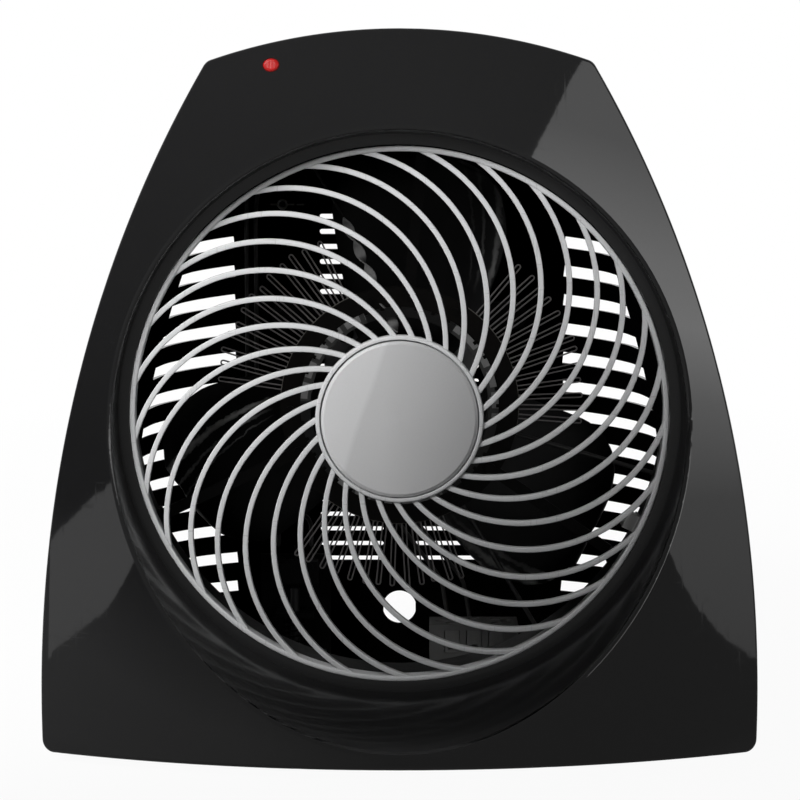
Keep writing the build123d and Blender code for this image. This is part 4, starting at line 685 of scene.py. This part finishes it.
# ---------------------------------------------------------------- element stay
# A flat steel strip, twisted to stiffen it, that braces the drum to the duct wall on the left.
# Its outer end is rolled into a plain rod, burnt black by the heat.
STAY_FOOT = Vector((-0.0008, COIL_Y, 0.1602))
STAY_HEAD = Vector((-0.0222, COIL_Y, 0.2056))
STAY_WALL = Vector((-0.0360, COIL_Y, 0.2290))
STAY_WIDE = 0.0042
STAY_THICK = 0.0006
STAY_ROD_R = 0.0005
TWISTS = 5
STAY_STEPS = 100


def twisted_stay():
    along = (STAY_HEAD - STAY_FOOT).normalized()
    across = along.cross(Vector((0, 1, 0))).normalized()
    path, sides, fronts = [], [], []
    for step in range(STAY_STEPS + 1):
        turn = pi * TWISTS * step / STAY_STEPS + pi / 2
        side = across * cos(turn) + Vector((0, 1, 0)) * sin(turn)
        path.append(STAY_FOOT.lerp(STAY_HEAD, step / STAY_STEPS))
        sides.append(side)
        fronts.append(along.cross(side))
    return swept(path, sides, fronts, rounded(STAY_WIDE, STAY_THICK, 0.00025, 2))


def dull_steel():
    finish = Finish("dull_steel", IOR=1.5, Metallic=0.2)
    stain = finish.noise(500, 4.0, 0.6)
    lines = finish.noise(1800, 2.0, 0.5, (1.0, 0.2, 0.1))
    tint = finish.blend(stain * 0.6 + lines * 0.4, (0.10, 0.10, 0.10), (0.19, 0.188, 0.185))
    return finish.feed(Base_Color=tint, Roughness=stain * 0.2 + 0.4, Normal=finish.bump(lines, 0.00003, 0.4))


dull = dull_steel()
piece("element_stay", *twisted_stay(), "cabinet", "drum_steel", dull)
stay_rod = [STAY_HEAD.lerp(STAY_WALL, step / 8) for step in range(9)]
piece("element_stay_rod", *tube(stay_rod, STAY_ROD_R), "cabinet", "drum_steel", burnt)


# ---------------------------------------------------------------- over-heat protection
# A drawn aluminium thermostat can is strapped to the duct wall; a one-shot fuse lies along a leg.
# Headed pins through the mica bring the supply to the wires.
def drawn_can():
    finish = Finish("drawn_can", IOR=2.0, Metallic=0.9)
    lines = finish.noise(1600, 2.0, 0.5, (0.1, 1.0, 0.1))
    cloud = finish.noise(200, 4.0)
    tint = finish.blend(lines * 0.5 + cloud * 0.5, (0.52, 0.52, 0.51), (0.70, 0.70, 0.69))
    return finish.feed(Base_Color=tint, Roughness=cloud * 0.15 + lines * 0.1 + 0.28,
                       Normal=finish.bump(lines, 0.00003, 0.4))


dress(drawn_can(), "thermal_cutout", "thermal_fuse")
dress(burnt, "terminal_pins")


# ---------------------------------------------------------------- fan
# A three-bladed wheel moulded in black glass-filled nylon, held on the motor shaft by a nut.
# The broad blades are cambered, thin at the rim, and carry pale painted highlight stripes behind the leading
# edge.
FAN_FRONT = 0.008
FAN_BACK = 0.044
FAN_HUB = 0.028
HUB_WALL_R = 0.0256
BOSS_R = 0.007
BORE_R = 0.0031
BLADES = (82.5, 202.5, 322.5)
BLADE_EDGES = ((0.0270, 46, -43), (0.036, 42, -40), (0.048, 35.5, -35.5), (0.060, 32, -31.5),
               (0.072, 29.5, -28), (0.080, 28, -25.5), (0.087, 25.5, -22), (0.093, 21.5, -18.5),
               (0.0973, 16.5, -14), (0.0995, 9, -6))
BLADE_HALF = 0.0011
BLADE_MIDDLE_Y = 0.0270
BLADE_PITCH = 0.0155
BLADE_MORE_PITCH = 0.0015
CAMBER = 0.004
WEB_THICK = 0.0016
WEB_DEEP = 0.020


def between(table, at):
    """Values read from rows of (place, value, value) by straight lines."""
    for low, high in zip(table, table[1:]):
        if at <= high[0]:
            break
    t = (at - low[0]) / (high[0] - low[0])
    return low[1] + (high[1] - low[1]) * t, low[2] + (high[2] - low[2]) * t


def blade(axis, rows=30, columns=30):
    """One cambered blade: a front and a back skin on a grid from hub to rim and edge to edge."""
    grid = []
    root, rim = BLADE_EDGES[0][0], BLADE_EDGES[-1][0]
    for i in range(rows + 1):
        share = sin(i / rows * pi / 2)
        radius = root + (rim - root) * share
        high, low = between(BLADE_EDGES, radius)
        depth = BLADE_PITCH + BLADE_MORE_PITCH * share
        row = []
        for j in range(columns + 1):
            t = j / columns
            turn = radians(axis + high + (low - high) * t)
            y = BLADE_MIDDLE_Y + depth * (1 - 2 * t) + CAMBER * 4 * t * (1 - t)
            row.append(Vector((radius * cos(turn), y, AXIS_Z + radius * sin(turn))))
        grid.append(row)
    points, faces = [], []
    for i in range(rows + 1):
        for j in range(columns + 1):
            outward = grid[min(i + 1, rows)][j] - grid[max(i - 1, 0)][j]
            sideways = grid[i][min(j + 1, columns)] - grid[i][max(j - 1, 0)]
            rise = outward.cross(sideways).normalized()
            inset = min(j, columns - j, rows - i) / 3
            half = BLADE_HALF * (0.35 + 0.65 * sqrt(min(1.0, inset)))
            points += [grid[i][j] + rise * half, grid[i][j] - rise * half]
    stride = 2 * (columns + 1)
    for i in range(rows):
        for j in range(columns):
            a, b = i * stride + 2 * j, (i + 1) * stride + 2 * j
            faces += [(a, a + 2, b + 2, b), (a + 1, b + 1, b + 3, a + 3)]
    rim_loop = [(0, j) for j in range(columns)] + [(i, columns) for i in range(rows)]
    rim_loop += [(rows, j) for j in range(columns, 0, -1)] + [(i, 0) for i in range(rows, 0, -1)]
    marks = [i * stride + 2 * j for i, j in rim_loop]
    for a, b in zip(marks, marks[1:] + marks[:1]):
        faces.append((a, b, b + 1, a + 1))
    return points, faces


def fan_web(index):
    """One of six webs between the boss and the wall of the hub."""
    turn = index * pi / 3
    out = Vector((cos(turn), 0, sin(turn)))
    across = Vector((-sin(turn), 0, cos(turn)))
    path = [Vector((0, FAN_FRONT + 0.012, AXIS_Z)) + out * radius
            for radius in (BOSS_R - 0.0005, HUB_WALL_R + 0.0002)]
    return swept(path, [across] * 2, [Vector((0, 1, 0))] * 2, rounded(WEB_THICK, WEB_DEEP, 0.0004, 2))


def nylon_with_painted_highlights():
    """Black nylon with ragged painted highlights: pale stripes counted in radians from the middle of each
    blade, much stronger on the two lower blades, which get less light.
    """
    finish = Finish("nylon_with_painted_highlights", IOR=1.35)
    x, y, z, reach = finish.round_axis()
    grain = finish.noise(2600, 3.0)
    cloud = finish.noise(60, 4.0)
    ragged = finish.noise(260, 4.0, 0.6)
    left, right = [(x * cos(radians(middle)) + z * sin(radians(middle))) > reach * 0.5
                   for middle in BLADES[1:]]
    share = 2 * pi / len(BLADES)
    off_middle = ((z.angle(x) - radians(BLADES[0])) + pi) % share - share / 2
    swept_back = off_middle - (reach - 0.076) * 6.3 + ragged * 0.05 - left * 0.19 + right * 0.08
    painted_highlight_streaks = []
    # Three pale painted highlight stripes behind the leading edge, placed blade by blade.
    for place, width, level in ((-0.395, 0.022, 1.0), (-0.310, 0.013, 0.55), (-0.250, 0.008, 0.35)):
        offset = (swept_back - place) / (right * width + width)
        painted_highlight_streaks.append((1.0 - offset * offset).clamped() * level)
    # Painted highlight strength: much stronger on the two lower blades, which get less light.
    film = painted_highlight_streaks[0].over(painted_highlight_streaks[1]).over(painted_highlight_streaks[2]) * (left * 0.85 + right * 0.75 + 0.12)
    film = film * ((reach - 0.052) / 0.012).clamped() * (ragged * 0.6 + 0.6).clamped()
    tint = finish.blend(cloud * 0.6 + grain * 0.4, (0.0030, 0.0030, 0.0032), (0.0062, 0.0062, 0.0064))
    tint = finish.blend(film, tint, (0.66, 0.66, 0.65))
    rough = grain * 0.1 + cloud * 0.08 + film * 0.2 + 0.36
    return finish.feed(Base_Color=tint, Roughness=rough, Normal=finish.bump(grain, 0.00003, 0.4))


fan_hub = eased([(BORE_R, FAN_FRONT), (0.021, FAN_FRONT), (0.026, FAN_FRONT + 0.0016),
                 (FAN_HUB, FAN_FRONT + 0.005), (FAN_HUB, FAN_BACK), (HUB_WALL_R, FAN_BACK),
                 (HUB_WALL_R, FAN_FRONT + 0.006), (0.022, FAN_FRONT + 0.0028), (BOSS_R, FAN_FRONT + 0.0028),
                 (BOSS_R, FAN_BACK - 0.004), (BORE_R, FAN_BACK - 0.004)], 0.0008)
wheel_parts = [blade(axis) for axis in BLADES] + [turned(fan_hub)] + [fan_web(index) for index in range(6)]
fan_wheel = piece("fan_wheel", *gathered(wheel_parts), "fan_rotor", "fan_black", nylon_with_painted_highlights(), 50)
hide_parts("fan")
dress(burnt, "fan_nut")


# ---------------------------------------------------------------- motor
# Stacked steel laminations with copper windings, die cast covers and bronze bushes.
# Four long bolts hold it on rubber washers to a pressed bracket at the rear wall.
SHEET_THICK = 0.0005


def laminations():
    finish = Finish("laminations", IOR=2.0, Metallic=1.0)
    x, y, z = finish.axes()
    sheets = (y * (2 * pi / SHEET_THICK)).wave()
    rust = finish.noise(160, 5.0, 0.65)
    tint = finish.blend(sheets * 0.7 + rust * 0.3, (0.08, 0.08, 0.082), (0.27, 0.265, 0.26))
    tint = finish.blend((rust > 0.64) * 0.4, tint, (0.20, 0.09, 0.04))
    return finish.feed(Base_Color=tint, Roughness=rust * 0.2 + 0.35, Normal=finish.bump(sheets, 0.0001, 0.8))


def wound_copper():
    finish = Finish("wound_copper", IOR=1.6, Metallic=0.85, Coat_Weight=0.5, Coat_Roughness=0.1)
    x, y, z, reach = finish.round_axis()
    strands = ((reach * 9000).wave() + (z.angle(x) * 90 + y * 4000).wave()) * 0.5
    stray = finish.noise(500, 3.0)
    tint = finish.blend(strands * 0.7 + stray * 0.3, (0.22, 0.07, 0.02), (0.70, 0.30, 0.12))
    return finish.feed(Base_Color=tint, Roughness=stray * 0.15 + 0.22,
                       Normal=finish.bump(strands, 0.0002, 0.8))


def die_cast():
    finish = Finish("die_cast", IOR=2.0, Metallic=0.9)
    sand = finish.noise(1500, 4.0, 0.6)
    flow = finish.noise(70, 4.0)
    tint = finish.blend(flow * 0.6 + sand * 0.4, (0.16, 0.16, 0.163), (0.28, 0.28, 0.285))
    return finish.feed(Base_Color=tint, Roughness=sand * 0.2 + 0.38, Normal=finish.bump(sand, 0.0001, 0.5))


def sintered_bronze():
    finish = Finish("sintered_bronze", IOR=2.0, Metallic=0.9)
    pores = finish.cells(3000)
    oil = finish.noise(200, 3.0)
    tint = finish.blend(pores * 0.6 + oil * 0.4, (0.22, 0.14, 0.07), (0.45, 0.30, 0.15))
    return finish.feed(Base_Color=tint, Roughness=oil * 0.2 + 0.35, Normal=finish.bump(pores, 0.00008, 0.5))


def ground_steel():
    finish = Finish("ground_steel", IOR=2.2, Metallic=1.0)
    rings = finish.noise(3000, 2.0, 0.5, (0.05, 1.0, 0.05))
    film = finish.noise(120, 4.0)
    tint = finish.blend(film, (0.55, 0.55, 0.555), (0.70, 0.70, 0.70))
    return finish.feed(Base_Color=tint, Roughness=rings * 0.1 + film * 0.08 + 0.10,
                       Normal=finish.bump(rings, 0.00002, 0.4))


def soft_rubber():
    finish = Finish("soft_rubber", IOR=1.5)
    bloom = finish.noise(110, 5.0, 0.6)
    grain = finish.noise(2200, 3.0)
    tint = finish.blend(bloom, (0.012, 0.012, 0.012), (0.038, 0.037, 0.036))
    return finish.feed(Base_Color=tint, Roughness=bloom * 0.15 + grain * 0.1 + 0.62,
                       Normal=finish.bump(grain, 0.00006, 0.5))


ground = ground_steel()
rubber = soft_rubber()
dress(laminations(), "stator_core", "rotor")
dress(wound_copper(), "motor_windings")
dress(die_cast(), "motor_front_cover", "motor_rear_cover")
dress(sintered_bronze(), "motor_bushes")
dress(ground, "motor_shaft")
dress(rubber, "motor_isolators")
dress(stove_enamel("bracket_enamel", *DUCT_BLACK), "motor_bracket")
dress(burnt, "motor_bolts", "motor_nuts", "bracket_screws")


# ---------------------------------------------------------------- lead clip
# A grey nylon ring with three short prongs, pressed over the boss on the inside of the rear wall.
# A black plug closes the bore of the boss.
CLIP = Vector((-0.051, 0.0912, 0.2065))
CLIP_RING_R = 0.0019
CLIP_WIRE_R = 0.0005
PRONG_R = 0.0004
PRONGS = ((-0.0052, -0.0023), (0.0023, 0.0052), (0.0062, 0.0095))
PLUG_R = 0.00165
PLUG_ENDS = (0.0012, 0.0080)


def clip_ring():
    ring = []
    for step in range(49):
        turn = step * pi / 24
        ring.append(CLIP + Vector((CLIP_RING_R * cos(turn), 0, CLIP_RING_R * sin(turn))))
    return tube(ring, CLIP_WIRE_R)


def grey_nylon():
    finish = Finish("grey_nylon", IOR=1.45)
    cloud = finish.noise(600, 3.0)
    tint = finish.blend(cloud, (0.26, 0.26, 0.26), (0.38, 0.38, 0.375))
    return finish.feed(Base_Color=tint, Roughness=cloud * 0.1 + 0.5, Normal=finish.bump(cloud, 0.00003, 0.4))


prongs = [tube([CLIP + Vector((end, 0, 0)) for end in ends], PRONG_R) for ends in PRONGS]
plug = tube([CLIP + Vector((0, end, 0)) for end in PLUG_ENDS], PLUG_R, 20)
piece("lead_clip", *gathered(prongs + [clip_ring()]), "cabinet", "black_satin", grey_nylon())
piece("clip_plug", *plug, "cabinet", "black_satin", inner_black)


# ---------------------------------------------------------------- controls
# A satin panel in the pocket of the sloping top, with a thermostat and a heat switch under it.
# Each control is held by a ring nut and turned by a push-on knob with a pointer line.
POCKET_Y = 0.020
POCKET_Z = 0.25896
POCKET_SLOPE = radians(10)
PANEL_TOP = 0.0031
TICKS_IN_R = 0.0160
TICKS_OUT_R = 0.0195
GRIP_TOP = 0.0162
LINE_HALF = 0.00065
KNOB_X = 0.026


def on_pocket(finish):
    """The place counted from a spindle: across, up the slope, and above the floor of the pocket."""
    x, y, z = finish.axes()
    back, rise = y - POCKET_Y, z - POCKET_Z
    along = back * cos(POCKET_SLOPE) - rise * sin(POCKET_SLOPE)
    above = back * sin(POCKET_SLOPE) + rise * cos(POCKET_SLOPE)
    return abs(x) - KNOB_X, along, above


def printed_panel():
    """Satin black, with white run into the tick marks round each knob."""
    finish = Finish("printed_panel", IOR=1.48)
    grain = finish.noise(2600, 3.0)
    cloud = finish.noise(50, 4.0)
    aside, along, above = on_pocket(finish)
    reach = (aside * aside + along * along) ** 0.5
    sunk = (above < PANEL_TOP - 0.0002) * (reach > TICKS_IN_R) * (reach < TICKS_OUT_R)
    tint = finish.blend(cloud, (0.016, 0.016, 0.0165), (0.024, 0.024, 0.0245))
    tint = finish.blend(sunk * (0.85 + grain * 0.1), tint, (0.72, 0.72, 0.71))
    return finish.feed(Base_Color=tint, Roughness=grain * 0.12 + cloud * 0.06 + 0.34,
                       Normal=finish.bump(grain, 0.00005, 0.5))


def lined_knob():
    """Moulded black, with a white line run into the groove of the grip."""
    finish = Finish("lined_knob", IOR=1.48)
    grain = finish.noise(2600, 3.0)
    cloud = finish.noise(70, 4.0)
    x, y, z = finish.axes()
    aside, along, above = on_pocket(finish)
    groove = (above > GRIP_TOP - 0.0008) * (above < GRIP_TOP - 0.0003) * (abs(aside) < LINE_HALF)
    tint = finish.blend(cloud * 0.6 + grain * 0.4, (0.012, 0.012, 0.0124), (0.021, 0.021, 0.0215))
    tint = finish.blend(groove * (y > POCKET_Y), tint, (0.74, 0.74, 0.73))
    return finish.feed(Base_Color=tint, Roughness=grain * 0.1 + cloud * 0.1 + 0.36,
                       Normal=finish.bump(grain, 0.00003, 0.4))


def dark_resin():
    finish = Finish("dark_resin", IOR=1.55)
    fibre = finish.noise(900, 4.0, 0.6, (1.0, 0.3, 1.0))
    cloud = finish.noise(90, 3.0)
    tint = finish.blend(fibre * 0.6 + cloud * 0.4, (0.035, 0.026, 0.02), (0.075, 0.058, 0.045))
    return finish.feed(Base_Color=tint, Roughness=fibre * 0.2 + 0.40, Normal=finish.bump(fibre, 0.00006, 0.5))


dress(printed_panel(), "control_panel")
dress(lined_knob(), "thermostat_knob", "heat_knob")
dress(moulded, "switch_case")
dress(ground, "thermostat_shaft", "switch_shaft", "thermostat_blade")
dress(zinc, "control_nuts")
dress(dark_resin(), "thermostat_case")


# ---------------------------------------------------------------- tip-over switch
# A nylon plunger stands through the floor and lifts a small switch while the heater is upright.
# It runs in a moulded guide screwed to the floor, with a plain steel spring round its stem.
dress(inner_black, "tip_guide", "microswitch", "microswitch_button")
dress(moulded, "tip_plunger")
dress(burnt, "tip_spring")


# ---------------------------------------------------------------- mains connection and leads
# A fired ceramic block, screwed to the floor, takes the supply in dull steel clamps.
# Leads in silicone jackets run up to the element, the motor and the switches.
def silicone_jacket():
    finish = Finish("silicone_jacket", IOR=1.45)
    cloud = finish.noise(240, 4.0)
    tint = finish.blend(cloud, (0.016, 0.016, 0.016), (0.045, 0.044, 0.043))
    return finish.feed(Base_Color=tint, Roughness=cloud * 0.15 + 0.45, Normal=finish.bump(cloud, 0.0001, 0.4))


dress(fired_ceramic("dusty_ceramic", (0.08, 0.08, 0.078), (0.11, 0.11, 0.108)), "terminal_block")
dress(dull, "terminal_clamps")
dress(silicone_jacket(), "motor_leads", "element_leads", "switch_leads")


# ---------------------------------------------------------------- underside
# A pressed steel plate, painted black, is screwed under both shells.
# Four moulded rubber feet are plugged into it; the screws are bright zinc.
dress(stove_enamel("base_paint", (0.014, 0.014, 0.0145), (0.026, 0.026, 0.026), 1.5), "base_plate")
dress(rubber, "feet")
dress(zinc, "base_screws", "floor_screws", "shell_screws")


# ---------------------------------------------------------------- studio
# A pale sweep in a dim room. A soft box stands high on the left, with a black flag that takes its
# light away towards the lower right, and a weak one in front lights the inside. Two cut panels of
# lit cloth, a tall one on the right and a small one low on the left, are seen in the gloss.
CLOTH_Y = -1.57
RIGHT_BEND = (1.335, 0.276), (1.573, 0.047), (3.007, -0.002), (3.0, 0.03)
LEFT_BEND = (-1.25, 0.258), (-1.665, 0.113), (-1.48, 0.172), (-2.2, 0.058)
RIGHT_FADE = ((0.0, 0.24), (0.28, 0.32), (0.40, 0.61), (0.49, 1.0), (0.56, 0.88), (0.68, 0.50), (1.0, 0.45))
LEFT_FADE = ((0.0, 1.0), (1.0, 1.0))
ROOM_FRONT = 0.27
FLOOR_HALF = 8.0
CAMERA_TILT = radians(7.0)


class Room(Finish):
    """The light that comes from all round, by direction."""

    def __init__(self, world):
        world.use_nodes = True
        self.tree = world.node_tree
        self.shader = self.tree.nodes["Background"]


def ray_kind(finish, *kinds):
    """1 for rays of the named kinds."""
    rays = finish.node("LightPath")
    first, *others = [Wire(finish, rays.socket.node.outputs["Is %s Ray" % kind]) for kind in kinds]
    for other in others:
        first = first.over(other)
    return first


def soft_box(name, place, target, size, radiance):
    """A square soft box facing a target; radiance is the brightness of its face."""
    light = bpy.data.lights.new(name, "AREA")
    light.size = size
    light.energy = radiance * pi * size * size
    holder = placed(name, light)
    holder.location = place
    holder.rotation_euler = (Vector(target) - Vector(place)).to_track_quat("-Z", "Y").to_euler()
    holder.visible_glossy = False


def sheet(name, corners):
    """One flat face of the studio, and the mesh it is made of."""
    mesh = bpy.data.meshes.new(name)
    mesh.from_pydata(corners, [], [tuple(range(len(corners)))])
    made = placed(name, mesh)
    return made, mesh


def grey(level):
    return (level, level, level)


def flag(middle, edge, inward):
    """A black card that shades from one edge; edge and inward are its half edge and its reach."""
    middle, edge, inward = Vector(middle), Vector(edge), Vector(inward)
    corners = [middle - edge, middle + edge, middle + edge + inward, middle - edge + inward]
    card, mesh = sheet("flag", corners)
    card.visible_camera = card.visible_glossy = card.visible_transmission = False
    felt = Finish("black_felt")
    tint = felt.blend(felt.noise(300), grey(0.002), grey(0.004))
    mesh.materials.append(felt.feed(Base_Color=tint))


def bowed(start, leave, arrive, end, steps=24):
    """Points of a smooth (x, z) cut from start to end, pulled towards two handles on the way."""
    points = []
    for step in range(steps + 1):
        t = step / steps
        pulls = (1 - t) ** 3, 3 * (1 - t) ** 2 * t, 3 * (1 - t) * t ** 2, t ** 3
        handles = list(zip(pulls, (start, leave, arrive, end)))
        points.append([sum(pull * handle[axis] for pull, handle in handles) for axis in (0, 1)])
    return points


def lit_panel(name, outline, radiance, fade):
    """An upright panel of lit cloth in front of the heater, cut to an outline of (x, z) points."""
    panel, mesh = sheet(name, [(x, CLOTH_Y, z) for x, z in outline])
    panel.visible_camera = panel.visible_diffuse = False
    cloth = Finish(name)
    x, y, z = cloth.axes()
    stops = [(at, grey(level)) for at, level in fade]
    glow = cloth.node("ValToRGB", {"stops": stops}, {0: z})
    cloth.show(cloth.node("Emission", None, {"Color": glow, "Strength": radiance}))
    mesh.materials.append(cloth.material)


soft_box("key_box", (-1.0, -1.434, 1.14), (0, -0.02, 0.14), 0.9, 24.0)
soft_box("fill_box", (0.0, -1.3, 0.45), (0, 0, 0.13), 0.6, 1.5)
flag((-0.126, -0.257, 0.2565), (-0.21, 0, -0.21), (0.225, -0.318, -0.225))
right_cloth = [(0.13, 0.416), *bowed(*RIGHT_BEND), (3.0, 1.4), (2.26, 1.4)]
left_cloth = [(-2.2, 0.218), (-1.476, 0.316), (-1.25, 0.322), *bowed(*LEFT_BEND)]
lit_panel("right_panel", right_cloth, 3.6, RIGHT_FADE)
lit_panel("left_panel", left_cloth, 0.98, LEFT_FADE)

world = bpy.data.worlds.new("studio")
bpy.context.scene.world = world
room = Room(world)
sideways, way, rise = room.axes(room.node("TexCoord", output="Generated"))
behind = (way / 0.45).clamped()
low = (1.4 - rise / 0.05).clamped()
dim_left = (sideways * -1.6).clamped() * ((0.30 - rise) / 0.20).clamped() * (1.0 - low) * 0.2
bright_low = low * (sideways * -2.5).clamped() * 0.11
seen_level = behind * (1.0 - ROOM_FRONT) + ROOM_FRONT + bright_low - dim_left
glossy = ray_kind(room, "Glossy")
level = glossy * seen_level + (1.0 - glossy) * (behind * 0.6 + 0.04)
straight = ray_kind(room, "Camera", "Transmission")
room.fix(room.shader, {"Color": (1, 1, 1, 1), "Strength": straight + (1.0 - straight) * level})

corners = [(x * FLOOR_HALF, y * FLOOR_HALF, 0) for x, y in ((-1, -1), (1, -1), (1, 1), (-1, 1))]
floor_mesh = sheet("floor", corners)[1]
pale = Finish("pale_floor")
px, py = pale.axes()[:2]
away = ((px * px + py * py) ** 0.5 - 0.25) / 0.9
share = away.clamped() * 0.05 + 0.95
at_back = ((py + 0.15) / 0.3).clamped()
glow = pale.node("Emission", None, {"Color": (1, 1, 1, 1), "Strength": 1.0})
cloth = pale.node("BsdfDiffuse", None, {"Color": pale.blend(at_back, grey(0.46), grey(0.86))})
looked_at = ray_kind(pale, "Camera", "Transmission")
seen = pale.node("MixShader", None, {0: share * looked_at, 1: cloth, 2: glow})
level = (0.5 - px * 0.8).clamped() * 0.11 + ROOM_FRONT
sheen = pale.node("Emission", None, {"Color": (1, 1, 1, 1), "Strength": level})
in_gloss = ray_kind(pale, "Glossy") * (1.0 - at_back)
pale.show(pale.node("MixShader", None, {0: in_gloss, 1: seen, 2: sheen}))
floor_mesh.materials.append(pale.material)

camera = placed("camera", bpy.data.cameras.new("camera"))
camera.location = (0, RING_Y - cos(CAMERA_TILT), AXIS_Z + sin(CAMERA_TILT))
camera.rotation_euler = (pi / 2 - CAMERA_TILT, 0, 0)
camera.data.sensor_width = 36
camera.data.lens = 116.9
camera.data.shift_x = 0.0006
camera.data.shift_y = 0.0206
camera.data.clip_start = 0.05
bpy.context.scene.camera = camera
bpy.context.scene.view_settings.view_transform = "Standard"
